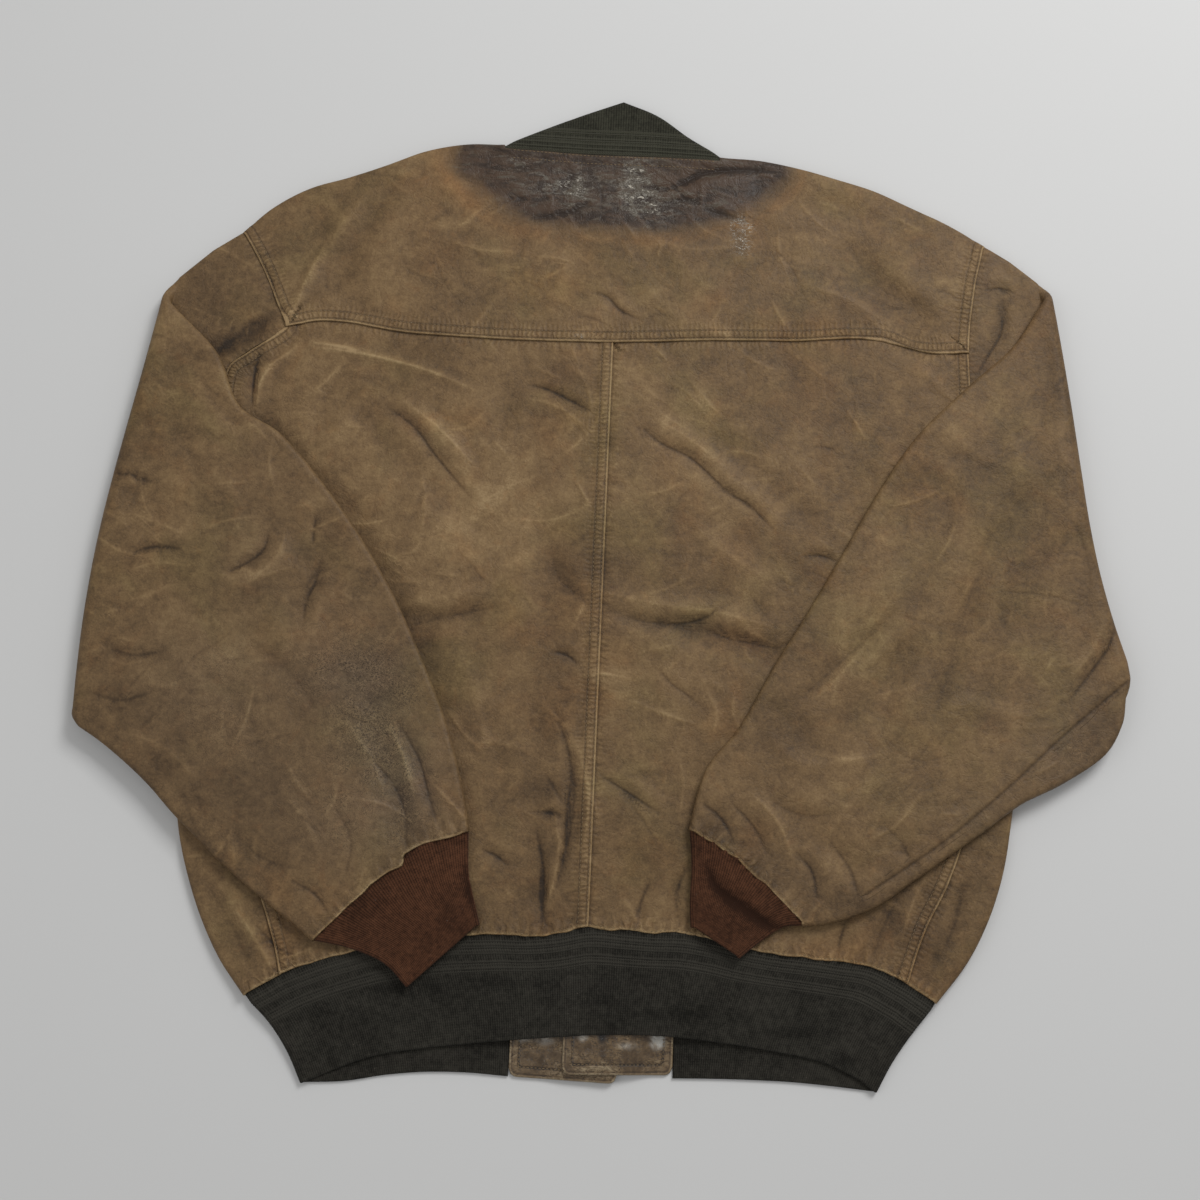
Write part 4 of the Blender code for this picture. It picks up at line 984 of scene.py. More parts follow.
points, marks = laid_panel(yoke_plan, YOKE_EDGES)
grids = [(points, marks)]
for out, low, high in ((out_left, 0, 7), (out_right[::-1], 13, 20)):
    inside = (along >= low) & (along <= high)
    over = rolled(yoke_plan[0, inside], finer(out, along[inside] - low), points[0, inside, 2])
    grids.append((over, {key: value[0, inside] for key, value in marks.items()}))
yoke = shell("yoke", LEATHER, grids, leather)
lines = [yoke_seam, armhole_left[ROW_BY_YOKE], armhole_right[ROW_BY_YOKE][::-1], neck_seam[::-1]]
threads = seam_threads("yoke_stitches", stitch_rows(lines, YOKE_EDGES))
sewn_on(yoke, "back_yoke")


# ------------------------------------------------------------------------------------------------
# The back: two halves of hide, joined down the middle by a seam where the left half laps over the
# right one and is stitched twice.  Each half runs from the yoke to the hem, and from the armhole
# down its side.

SIDE_LEFT = [
    (-0.3145, -0.0885), (-0.3125, -0.1500), (-0.3075, -0.2005), (-0.2935, -0.2485),
    (-0.2645, -0.3045), (-0.2475, -0.3255),
]
SIDE_RIGHT = [
    (0.3115, -0.0350), (0.3095, -0.1100), (0.3040, -0.1760), (0.2940, -0.2285), (0.2705, -0.2815),
    (0.2485, -0.3105),
]
SIDE_SEAM_LEFT = [
    (-0.2860, -0.0350), (-0.2800, -0.1300), (-0.2630, -0.2100), (-0.2395, -0.2575),
    (-0.2225, -0.3095),
]
SIDE_SEAM_RIGHT = [
    (0.2850, 0.0050), (0.2810, -0.1100), (0.2615, -0.2145), (0.2395, -0.2615), (0.2275, -0.2975),
]
BAND_LEFT = [(-0.2475, -0.3255), (-0.2335, -0.3375), (-0.2185, -0.3550), (-0.2025, -0.3841)]
BAND_RIGHT = [(0.2485, -0.3105), (0.2340, -0.3285), (0.2205, -0.3475), (0.2065, -0.3735)]
HEM_BACK = [
    (-0.2475, -0.3255), (-0.2225, -0.3095), (-0.1865, -0.2955), (-0.1515, -0.2840),
    (-0.0805, -0.2755), (-0.0315, -0.2735), (-0.0025, -0.2670), (0.0345, -0.2690),
    (0.0705, -0.2690), (0.1215, -0.2785), (0.1785, -0.2835), (0.2075, -0.2875),
    (0.2275, -0.2975), (0.2485, -0.3105),
]


def side_lines(side, side_seam, band, fold_foot, turn):
    """The side's coarse stations: its seam, and the axis and outward offset of its rolled edge."""
    edge = curve(side, 8)
    out = mitres(edge, turn, fold_foot, curve(band, 3)[1])
    seam = curve(side_seam, 8)
    seam[-1] = across(HEM_BACK, seam[-1:, 0])[0]
    return seam, edge - INSET * out, out


side_seam_left, side_axis_left, side_out_left = side_lines(
    SIDE_LEFT, SIDE_SEAM_LEFT, BAND_LEFT, FOLD_LEFT[1], -1
)
side_seam_right, side_axis_right, side_out_right = side_lines(
    SIDE_RIGHT, SIDE_SEAM_RIGHT, BAND_RIGHT, FOLD_RIGHT[1], 1
)


def hem_wave(xs):
    """How far the gathered hem strays from its line: two sizes of waves, still at its two ends."""
    line = np.stack([xs, 0 * xs], axis=-1)
    still = np.clip((-HEM_BACK[0][0] - np.abs(xs)) / 0.02, 0, 1)
    return (0.0009 * waves(line, 0.016, 51) + 0.0006 * waves(line, 0.007, 52)) * still


hem_back = whole(HEM_BACK, 170)
hem_back[:, 1] += hem_wave(hem_back[:, 0])
hem_left, hem_right = hem_back[hem_back[:, 0] < 0.004], hem_back[hem_back[:, 0] > -0.009]
centre_seam = np.array([(CENTRE, 0.1795), (CENTRE, -0.2670)])
side_line_left = finer(side_seam_left, np.linspace(0, 8, 50))
side_line_right = finer(side_seam_right, np.linspace(0, 8, 50))


def back_half(hole, side_seam, lapped):
    """The plan of half of the back; a lapped centre edge slips under the other half, and the top
    slips under the yoke."""
    top_x = np.linspace(hole[5, 0], CENTRE, 11)
    hem_x = np.linspace(side_seam[-1, 0], CENTRE, 11)
    top, hem = across(YOKE_SEAM, top_x), across(HEM_BACK, hem_x)
    outer = np.vstack([hole[5:11], side_seam[1:]])
    plan = patch(top, hem, outer, np.linspace(top[-1], hem[-1], 14))
    down = steps_between(13, 0.46, 0.0022, 0.0009, 0.0012)
    along = steps_between(10, 0.28, 0.0021, 0.0012, 0.0009)
    plan = finer_grid(plan, down, along, (5,))
    below, over_hem = plan[:1, :, 1] - plan[..., 1], plan[..., 1] - plan[-1:, :, 1]
    plan[..., 1] += hem_wave(plan[..., 0]) * bell(over_hem, 0.008)
    plan[..., 1] += SEAM_LAP * bell(below, TUCK)
    if lapped:
        plan[..., 0] -= SEAM_LAP * bell(plan[..., 0] - CENTRE, TUCK)
    return plan


for name, node, hole, armhole, seam, side, hem, lapped in (
    ("back_half_left", "back_left", hole_left, armhole_left, side_seam_left, side_line_left,
     hem_left, False),
    ("back_half_right", "back_right", hole_right, armhole_right, side_seam_right, side_line_right,
     hem_right, True),
):
    edges = [
        (yoke_seam, "lapped"), (centre_seam, "lapped" if lapped else "lapping"),
        (armhole[BY_BACK], "lapping"), (side, "lapping"), (hem, "gathered"),
    ]
    panel = shell(name, LEATHER, [laid_panel(back_half(hole, seam, lapped), edges)], leather)
    way = -1 if lapped else 1
    lines = [armhole[BY_BACK][::way], side[::way]]
    if not lapped:
        lines.append(np.linspace(*centre_seam[::-1], 80))
    rows = stitch_rows(lines, edges) + stitch_rows([hem], edges, (ROW_EDGE,))
    threads = seam_threads(name + "_stitches", rows)
    sewn_on(panel, node)


# ------------------------------------------------------------------------------------------------
# The fronts: the left one closes over the right, and both lie on the surface below.  Each comes
# round its side to the seam with the back, and is plain below, where it can't be seen.

FRONT_NECK = [
    (-0.0945, 0.33975), (-0.0750, 0.3050), (-0.0450, 0.2790), (-0.0025, 0.2680), (0.0400, 0.2790),
    (0.0620, 0.3030), (0.0745, 0.33575),
]
HEM_FRONT = [
    (-0.2475, -0.3255), (-0.1700, -0.3000), (-0.0555, -0.2920), (0.0615, -0.2900),
    (0.1700, -0.2940), (0.2485, -0.3105),
]
OVERLAP_RISE = 0.0027  # how much higher the front lies that is on the other
STEP_TOP, STEP_FOOT = neck_x[4], neck_x[5]  # between these the right front steps down
TAB_LEFT_ENDS = (-0.0555, 0.0220)  # x of each waist tab's two sides
TAB_RIGHT_ENDS = (-0.0175, 0.0615)


def overlap(xs):
    """1 where the right front lies on the left one, 0 where it lies on the surface, and the step
    down between."""
    return 1 - ease(xs, STEP_TOP - 0.003, STEP_FOOT + 0.003)


def front_plan(hole, shoulder_axis, side_axis, neck_points, end_x):
    """The plan of a front where it lies on the surface, from armhole and side to centre edge."""
    corner = across(FRONT_NECK, np.array([end_x]))
    top = np.vstack([shoulder_axis, neck_points, corner])
    hem = across(HEM_FRONT, np.linspace(side_axis[-1, 0], end_x, len(top)))
    hem[0] = side_axis[-1]
    outer = np.vstack([hole, side_axis[1:]])
    plan = patch(top, hem, outer, np.linspace(top[-1], hem[-1], len(outer)))
    down = steps_between(len(outer) - 1, 0.62, 0.0044)
    along = steps_between(len(top) - 1, 0.31, 0.0044)
    return finer_grid(plan, down, along, (5, 12), (7,))


def front_grids(plan, height, hole, side_seam, side_axis, side_out, edges):
    """A front's lower part, the strip from its side seam to its edge, and the rolled edge."""
    outline = np.vstack([plan[0], plan[:, -1], plan[-1, ::-1], plan[::-1, 0]])[::3]
    away = np.abs(beside(plan, outline)[0])
    lift = 0.0007 * np.clip(waves(plan, 0.06, 21) + 0.5 * waves(plan, 0.025, 22), 0, 1)
    lift = lift * ease(away, 0.006, 0.035)
    bottom = raised(plan, height + lift)
    marks = {
        **NO_SEAMS, "tone": TONE_FRONT, "fold": -600 * lift, "grime": 0.1, "line_off": FAR,
        "lapping_off": np.abs(beside(plan, plan[::3, -1])[0]),
    }
    middle = (side_seam + side_axis) / 2
    middle[0] = hole[11]
    strip = np.stack([side_seam, middle, side_axis], axis=1)
    down = steps_between(8, 0.26, 0.0026)
    strip = finer_grid(strip, down, np.linspace(0, 2, 17))
    inward = strip[:, :1] - strip[:, -1:]
    inward /= np.linalg.norm(inward, axis=-1, keepdims=True)
    away = np.linalg.norm(strip - strip[:, :1], axis=-1, keepdims=True)
    strip = strip + SEAM_LAP * inward * bell(away, TUCK)
    points, strip_marks = laid_panel(strip, edges, TONE_FRONT)
    over = rolled(strip[:, -1], finer(side_out, down), points[:, -1, 2])
    over_marks = {key: value[:, -1] for key, value in strip_marks.items()}
    return [(bottom, marks), (points, strip_marks), (over, over_marks)]


front_neck = across(FRONT_NECK, neck_x)
for name, node, hole, armhole, shoulder_axis, seam, side, axis, out, neck_part, end_x in (
    ("front_left_panel", "front_left", hole_left, armhole_left, axis_left, side_seam_left,
     side_line_left, side_axis_left, side_out_left, slice(1, 4), TAB_LEFT_ENDS[1]),
    ("front_right_panel", "front_right", hole_right, armhole_right, axis_right, side_seam_right,
     side_line_right, side_axis_right, side_out_right, slice(5, 2, -1), TAB_RIGHT_ENDS[0]),
):
    plan = front_plan(hole, shoulder_axis, axis, front_neck[neck_part], end_x)
    height = FRONT_Z + OVERLAP_RISE * overlap(plan[..., 0]) * (node == "front_right")
    edges = [(side, "lapped"), (hem_back, "gathered"), (armhole[BY_FRONT], "lapping")]
    grids = front_grids(plan, height, hole, seam, axis, out, edges)
    panel = shell(name, LEATHER, grids, leather)
    sewn_on(panel, node)


# ------------------------------------------------------------------------------------------------
# The sleeves: each is one piece of hide sewn to a tube, set into the armhole.  It comes out of the
# armhole flat, turns back over itself along a fold, and lies across the back down to its cuff.

CLEARANCE = 0.0003  # between layers that lie on each other
FOLD_RADIUS = LAID / 2 + 0.00055
SETTLE = 2 * FOLD_RADIUS - LAID - CLEARANCE  # how far the turned layer sinks beyond its fold
SETTLE_REACH, BOW_REACH = 0.025, 0.045  # over what distance it sinks, and bows out
TUBE_STEPS = 8  # round each edge of a flattened tube
FOLDED, LAST = 7, 17  # the sections where the fold ends and where the cuff begins
TONE_SLEEVES = 0.50, 0.49  # left, right
ROW_PLACE = 56  # the place round the cuff's end where the stitch row's distance is measured
SLEEVE_LEFT = {
    "fold": FOLD_LEFT, "slip": (0.026, 0.014), "bow": 0.009, "late": 1.5, "swell": 0.0030,
    "seam_dip": 0.007, "seam_step": 0.006,
}
SLEEVE_RIGHT = {
    "fold": FOLD_RIGHT, "slip": (0.020, 0.030), "bow": -0.007, "late": 2.0, "swell": 0.0020,
    "seam_dip": 0.004, "seam_step": 0.0,
}
# Each sleeve from the fold to the cuff, in millimetres: x, y of its upper edge, x, y of its lower.
SECTIONS_LEFT = [
    (-308, 157, -367, -148), (-287, 115, -348, -162), (-253.5, 93.5, -329, -178),
    (-220, 58, -309, -198), (-187, 15.5, -291, -214), (-158, -30, -272, -231),
    (-134, -77, -253, -246), (-113, -124, -234, -260), (-98.5, -170, -216, -273),
    (-91.5, -202.5, -199.5, -285.5),
]
SECTIONS_RIGHT = [
    (306, 187, 383.5, -105), (272.5, 154.5, 370, -128), (233.5, 113.5, 339, -150),
    (203.5, 67.5, 309, -166), (177.5, 19.5, 283, -186), (152, -27, 256, -206),
    (127, -70, 229, -226), (102.5, -116.5, 204, -244), (78, -150, 177.5, -255),
    (66.5, -194.5, 150.5, -260.5),
]
TURNED_HOLLOWS = [
    (-355, 40, -240, 20, 15, 2), (-215, 20, -228, -45, 13, 1.8), (-165, -110, -140, -205, 13, 2.2),
    (315, 60, 275, -70, 16, 2.4), (225, -60, 165, -130, 13, 2), (150, -185, 190, -215, 11, 1.8),
]
TURNED_CREASES = [
    ([(-358, -7), (-345, -1), (-319, -1)], 4, -1.7),
    ([(-358, -19), (-339, -13), (-312, -14)], 5.7, 0.9),
    ([(-256, 18), (-258, 2), (-268, -8), (-287, -20)], 5.7, -2.1),
    ([(-243, 17), (-247, -4), (-263, -21)], 6.5, 1),
    ([(-221, 31), (-222, 19), (-222, 6)], 4, -1.2),
    ([(-215, -4), (-218, -23), (-223, -36), (-224, -55)], 4.9, -1.5),
    ([(-382, 56), (-364, 55), (-344, 49)], 4, -1.3),
    ([(-149, -124), (-131, -153), (-123, -177), (-115, -199)], 5.7, -2.1),
    ([(-159, -120), (-143, -150), (-132, -181)], 4.9, 1.1),
    ([(-172, -149), (-148, -172), (-139, -192), (-137, -217)], 5.7, -2),
    ([(-188, -125), (-166, -154), (-154, -182)], 6.5, 0.9),
    ([(-262, -68), (-231, -91), (-206, -122)], 8.1, -1.3),
    ([(-302, -85), (-270, -114), (-240, -157)], 10.5, -1.5),
    ([(-304, 61), (-285, 38), (-279, 7)], 10.5, 1.2),
    ([(-347, 115), (-321, 76), (-309, 37)], 12.1, -1.3),
    ([(-327, 148), (-305, 117), (-276, 86)], 8.9, -1.1),
    ([(-377, -73), (-350, -83), (-321, -78)], 6.5, -1.5),
    ([(-381, -111), (-354, -117), (-325, -108)], 6.5, -1.2),
    ([(-359, -140), (-329, -146), (-290, -173)], 7.3, 1),
    ([(-265, -208), (-240, -228), (-212, -235)], 7.3, -1.5),
    ([(-219, -242), (-200, -252), (-188, -266)], 5.7, -1.3),
    ([(-194, -184), (-177, -212), (-179, -241)], 6.5, -1.1),
    ([(-231, -178), (-207, -206), (-198, -234)], 7.3, 0.9),
    ([(303, 52), (285, 28), (270, -18), (256, -69), (241, -117)], 9.7, -2.3),
    ([(320, 40), (297, 1), (282, -53), (269, -106)], 9.7, 1.2),
    ([(217, -25), (194, -49), (168, -74), (139, -103)], 7.8, -2.4),
    ([(219, -48), (215, -78), (205, -123)], 8.5, -1.7),
    ([(282, 15), (267, -27), (256, -69), (245, -105)], 8.2, -2),
    ([(262, 40), (240, 5), (228, -35)], 9, -1.4),
    ([(381, -18), (376, -42), (361, -66), (343, -90)], 5.2, -1.7),
    ([(370, -28), (362, -50), (346, -70)], 6.5, 0.9),
    ([(197, -49), (179, -72), (157, -96)], 6.5, 1),
    ([(330, 200), (333, 160), (325, 119)], 8.9, -1.5),
    ([(350, 49), (361, 11), (356, -27)], 8.1, -1.5),
    ([(302, 118), (309, 87), (294, 62)], 8.9, 1),
    ([(241, 84), (256, 61), (249, 26)], 8.9, -1.1),
    ([(125, -171), (147, -180), (176, -179)], 7.3, -1.2),
    ([(74, -173), (91, -186), (101, -204)], 5.7, -1.5),
    ([(96, -172), (116, -193), (126, -214)], 5.7, -1.3),
    ([(109, -164), (131, -186), (144, -216)], 5.7, 0.9),
    ([(144, -206), (157, -221), (161, -241)], 4.9, -1.5),
    ([(169, -198), (184, -218), (191, -239)], 6.5, -1.5),
    ([(205, -182), (224, -202), (231, -220)], 7.3, -1.2),
    ([(116, -98), (139, -111), (161, -140)], 8.9, -1),
    ([(223, 13), (212, -18), (197, -38)], 8.1, 1),
]
TURNED_TONES = [
    (-262, 50, 50, 45, -0.05), (-283, -105, 50, 45, 0.06), (305, 125, 35, 45, -0.04),
    # (200, -243): painted shadow along the right sleeve's lower edge, near the cuff.
    (200, -243, 70, 16, -0.10), (356, -112, 34, 16, -0.10), (300, -168, 40, 16, -0.08),
    (-175, -125, 70, 85, 0.21), (-325, 120, 40, 70, 0.06), (-225, -163, 81, 53, -0.05),
    (-159, -109, 37, 83, -0.05), (-348, -109, 44, 45, -0.03), (-292, 62, 44, 60, 0.03),
    (-346, 143, 37, 45, 0.05), (-228, -29, 37, 38, 0.02), (-275, -8, 44, 30, -0.02),
    (-200, -5, 22, 45, -0.03), (-297, -174, 44, 30, -0.01), (-129, -181, 18, 30, -0.05),
    (-372, -12, 29, 45, 0.02), (-233, -112, 52, 38, -0.02), (267, -16, 29, 45, 0.04),
    (183, -95, 44, 45, 0.05), (89, -168, 37, 21, 0.07), (162, -212, 52, 27, 0.06),
    (371, -42, 19, 60, -0.07), (339, 18, 29, 45, -0.03), (242, -227, 44, 20, -0.04),
    (325, -133, 37, 23, -0.05), (341, 152, 22, 53, -0.02), (241, 76, 29, 45, 0.02),
    (127, -235, 29, 15, -0.04), (302, 102, 37, 45, 0.03), (359, -98, 29, 27, -0.04),
    (90, -194, 22, 15, -0.03),
]
TURNED_GRIME = [
    (-283, -105, 60, 45, 0.24), (-262, 50, 50, 45, 0.12), (-183, -92, 44, 26, 0.85),
    (-163, -140, 30, 50, 0.85), (-137, -180, 25, 36, 0.70), (-203, -50, 37, 30, 0.24),
    (-240, -164, 59, 38, 0.30), (-193, -205, 44, 27, 0.34), (-300, -100, 60, 50, 0.20),
    (-260, -7, 37, 38, 0.12), (363, -87, 29, 38, 0.14), (350, -135, 40, 30, 0.45),
    (290, -180, 40, 20, 0.30), (127, -228, 37, 20, 0.14), (213, -231, 44, 15, 0.11),
    (353, -12, 22, 45, 0.07),
]
UNDERARM_SEAM = [
    (0.386, -0.073), (0.337, -0.117), (0.301, -0.152), (0.252, -0.195), (0.196, -0.235),
]


def fold_over(plan, zeta, sleeve, turn):
    """Turns a flat sleeve back over itself along its fold line: a point past the line goes round a
    half circle and back, and zeta, its height above the sleeve's middle, goes with it.  The turned
    layer then sinks on to the one below, and the fold bows out between its ends."""
    top, foot = np.array(sleeve["fold"])
    length = np.linalg.norm(foot - top)
    along = (foot - top) / length
    outward = turn * np.array([-along[1], along[0]])
    past = (plan - top) @ outward
    angle = np.clip(past / FOLD_RADIUS, 0, math.pi)
    reach = np.minimum(past, 0) + (FOLD_RADIUS - zeta) * np.sin(angle)
    reach -= np.maximum(past - math.pi * FOLD_RADIUS, 0)
    height = INSET + FOLD_RADIUS - (FOLD_RADIUS - zeta) * np.cos(angle)
    height -= SETTLE * ease(past - math.pi * FOLD_RADIUS, 0, SETTLE_REACH)
    station = np.clip(((plan - top) @ along) / length, 0, 1)
    near = (1 - np.clip(-reach / BOW_REACH, 0, 1) ** 2) ** 2
    reach += sleeve["bow"] * np.sin(math.pi * station ** sleeve["late"]) * near
    foot_points = plan - past[..., None] * outward
    return raised(foot_points + reach[..., None] * outward, height), angle


def sleeve_lines(shoulder, side, sleeve, sections, turn):
    """Both edges of the stretched-out sleeve, section by section: the axis that each rolls round
    and its outward offset, in the order armhole, fold, cuff."""
    fold_top, fold_foot = np.array(sleeve["fold"])
    along = (fold_foot - fold_top) / np.linalg.norm(fold_foot - fold_top)
    outward = turn * np.array([-along[1], along[0]])
    arc = math.pi * FOLD_RADIUS
    root = np.linspace(0, 1, 3)[:, None]
    bend = np.linspace(0, 1, 6)[1:, None]
    sections = np.array(sections) / 1000
    edges = []
    for corner, fold_end, slip, swell, pair in (
        (shoulder[0], fold_top, sleeve["slip"][0], sleeve["swell"], sections[:, :2]),
        (side[0], fold_foot, sleeve["slip"][1], 0, sections[:, 2:]),
    ):
        inside = -(pair - fold_top) @ outward
        stretched = pair + (arc + 2 * inside)[:, None] * outward
        rooted = (1 - root) * corner + root * fold_end - swell * np.sin(math.pi * root) * along
        bent = fold_end + bend * (slip * along + arc * outward)
        edges.append(np.vstack([rooted, bent, stretched]))
    top, foot = edges
    top_out, foot_out = mitres(top, turn, shoulder[1]), mitres(foot, -turn, side[1])
    for out, way in ((top_out, -along), (foot_out, along)):
        bent = out[2:8]
        bent[:] = way * (np.linalg.norm(bent, axis=1) / (bent @ way))[:, None]
    return np.hstack([top - INSET * top_out, top_out, foot - INSET * foot_out, foot_out])


def tube_round(upper_share, lower_share):
    """Places round a flattened tube: for each its share from the upper edge to the lower one, its
    turn round an edge, and which edge that is: the upper (-1), the lower (1) or none (0)."""
    turn = np.linspace(math.pi / 2, -math.pi / 2, TUBE_STEPS + 1)[1:-1]
    bend = np.ones(TUBE_STEPS - 1)
    shares = np.concatenate([upper_share, bend, lower_share[::-1], 0 * bend, [0]])
    turns = np.concatenate([
        0 * upper_share + math.pi / 2, turn, 0 * lower_share - math.pi / 2, turn[::-1],
        [math.pi / 2],
    ])
    edge = np.concatenate([0 * upper_share, bend, 0 * lower_share, -bend, [0]])
    return shares, turns, edge


def tube_plan(lines, shares, turns, edge, radius):
    """Plan of a flattened tube: between its two axes by the share, and out by the cosine of the
    turn at an edge."""
    top_axis, top_out, foot_axis, foot_out = (lines[:, None, k : k + 2] for k in (0, 2, 4, 6))
    share, side = shares[None, :, None], edge[None, :, None]
    out = np.where(side > 0, foot_out, top_out) * radius * np.cos(turns)[None, :, None]
    return (1 - share) * top_axis + share * foot_axis + np.where(side == 0, 0, out)


def sleeve_tube(hole, lines, sleeve, turn, at, upper_share, lower_share):
    """The sleeve's plan and height at the sections given, with the plan's angle round the fold."""
    fine = np.where(
        (at <= FOLDED)[:, None], read_off(at, np.arange(LAST + 1), lines),
        finer(lines[FOLDED:], np.maximum(at - FOLDED, 0)),
    )
    shares, turns, edge = tube_round(upper_share, lower_share)
    flat = tube_plan(fine, shares, turns, edge, ROLL)
    chord = travelled(hole)
    stations = np.interp(shares, chord / chord[-1], np.arange(len(hole)))
    curl = finer(hole, stations) - ((1 - shares[:, None]) * hole[0] + shares[:, None] * hole[-1])
    flat = flat + np.clip(1 - at / 2, 0, 1)[:, None, None] * curl[None]
    back = (lines[-2, :2] + lines[-2, 4:6]) / 2 - (lines[-1, :2] + lines[-1, 4:6]) / 2
    back /= np.linalg.norm(back)
    dip = sleeve["seam_dip"] * np.sin(math.pi * shares)
    girth = np.stack([0.14 * shares, 0 * shares], axis=-1)
    dip = dip + 0.0016 * waves(girth, 0.013, 50 + turn) * np.sin(math.pi * shares)
    dip = dip + sleeve["seam_step"] * ease(shares, 0, 0.30) * (1 - ease(shares, 0.355, 0.395))
    dip = dip[None, :] * ease(at, LAST - 1, LAST)[:, None]
    flat = flat + dip[..., None] * back
    zeta = np.broadcast_to(ROLL * np.sin(turns), flat.shape[:2])
    points, angle = fold_over(flat, zeta, sleeve, turn)
    return points, angle, zeta


turned_lines = (
    drawn(TURNED_CREASES) + wrinkles(11, 170, (-0.39, -0.29), (-0.10, 0.23), -0.35)
    + wrinkles(13, 90, (0.06, -0.27), (0.39, 0.24), 0.95)
)


def turned_relief(plan, seed):
    """The relief of the layer that is folded over."""
    return layer_relief(plan, TURNED_HOLLOWS, turned_lines, seed)


# Where the sleeve's rows lie, by section, and its places round, by their share across; the lower
# wall's places come after the upper wall's and one turn.
section_at = np.concatenate([
    np.linspace(0, 0.06, 4)[:-1], np.linspace(0.06, 2, 24)[:-1], np.linspace(2, FOLDED, 18)[:-1],
    FOLDED + steps_between(LAST - FOLDED, 0.50, 0.0025, near_end=0.0011),
])
upper_share, lower_share = np.linspace(0, 1, 48) ** 1.35, np.linspace(0, 1, 108)
LOWER = slice(len(upper_share) + TUBE_STEPS - 1, -TUBE_STEPS)


def sleeve_wall(hole, lines, sleeve, turn, armhole, seed, tone):
    """The sleeve's middle surface with the relief of its two layers that face up, and its marks."""
    points, angle, zeta = sleeve_tube(
        hole, lines, sleeve, turn, section_at, upper_share, lower_share
    )
    plan = points[..., :2]
    first = np.clip(zeta / ROLL, 0, 1) * np.clip(np.cos(angle), 0, 1)
    second = np.clip(-zeta / ROLL, 0, 1) * np.clip(-np.cos(angle), 0, 1)
    above = angle > math.pi / 2
    off, along, _ = beside(plan, armhole)
    off = np.abs(off)
    laid, laid_marked = laid_relief(plan)
    root = laid + seam_height(off, along, "lapped", seed)
    turned, marks = turned_relief(plan, seed)
    marks = {key: np.where(above, value, laid_marked[key]) for key, value in marks.items()}
    hem_off, hem_along, _ = beside(plan, plan[-1, LOWER][::2])
    hem_off = np.abs(hem_off)
    turned = turned + seam_height(hem_off, hem_along, "gathered", seed + 9)
    marks.update(NO_SEAMS)
    marks["gathered_off"] = np.where(above, hem_off, FAR)
    marks["lapped_off"] = np.where(above, FAR, off)
    marks["lapped_along"] = np.where(above, 0, along)
    if turn > 0:
        signed, under_along, _ = beside(plan, curve(UNDERARM_SEAM, 24))
        away = np.abs(signed)
        turned = turned + 0.7 * seam_height(away, under_along, "plain", seed + 3) * (signed < 0)
        turned = turned + 0.8 * seam_height(away, under_along, "lapped", seed + 4)
        beside_seam = above & (away < 0.0046)
        gutter = -0.70 * (1 - ease(away, 0.0034, 0.0046))
        marks["line_off"] = np.where(beside_seam, -signed, marks["line_off"])
        marks["line_deep"] = np.where(beside_seam, gutter, marks["line_deep"])
    near = bell(off, TUCK) * first * (angle <= 0)
    points = points.copy()
    points[..., 2] += first * root + second * turned
    points[..., 0] -= turn * SEAM_LAP * near
    marks["bulge"] = marks["bulge"] * (first + second)
    marks["line_deep"] = marks["line_deep"] * (first + second)
    laid_tone = TONE_FRONT + patches(plan, LAID_TONES)
    marks["tone"] = np.where(above, tone + patches(plan, TURNED_TONES), laid_tone)
    marks["grime"] = np.where(above, patches(plan, TURNED_GRIME), 0.05)
    return points, marks


sleeve_ends = {}
for name, node, back, hole, shoulder, side, sleeve, sections, turn, armhole, seed, tone in (
    ("sleeve_left_tube", "sleeve_left", "back_left", hole_left, shoulder_left, SIDE_LEFT,
     SLEEVE_LEFT, SECTIONS_LEFT, -1, armhole_left, 70, TONE_SLEEVES[0]),
    ("sleeve_right_tube", "sleeve_right", "back_right", hole_right, shoulder_right, SIDE_RIGHT,
     SLEEVE_RIGHT, SECTIONS_RIGHT, 1, armhole_right, 80, TONE_SLEEVES[1]),
):
    lines = sleeve_lines(shoulder, curve(side, 8), sleeve, sections, turn)
    points, marks = sleeve_wall(hole, lines, sleeve, turn, armhole, seed, tone)
    tube = shell(name, LEATHER, [(points, marks)], leather)
    lower = points[-12:, LOWER]
    away = np.linalg.norm(lower[:, ROW_PLACE, :2] - lower[-1, ROW_PLACE, :2], axis=-1)
    line = lower[np.argmin(np.abs(away - ROW_EDGE))]
    places, ways = row_along(line, np.gradient(line, axis=0))
    threads = seam_threads(name + "_stitches", [(places + [0, 0, STITCH_RISE], ways)])
    sleeve_ends[node] = (hole, lines, sleeve, turn)
    sewn_on(tube, node)


# ------------------------------------------------------------------------------------------------
# The cuffs: tubes of rust-brown ribbed knit, gathered into the sleeve ends and open at the wrist.
# Their ribs run along the arm.

KNIT = 0.0019
KNIT_Z = 0.0010  # middle of a knit wall that lies on the surface
CUFF_ROLL = 0.0022
CUFF_Z = LAID + CLEARANCE + KNIT_Z + CUFF_ROLL
CUFF_LEFT = [
    (-91, -229.5, -172, -289), (-87.5, -244.5, -147.5, -298.5), (-80.5, -268.5, -130.5, -314.5),
]
CUFF_RIGHT = [
    (70, -220, 137, -261), (69.5, -245, 121, -272), (70.5, -264, 106, -284.5),
]


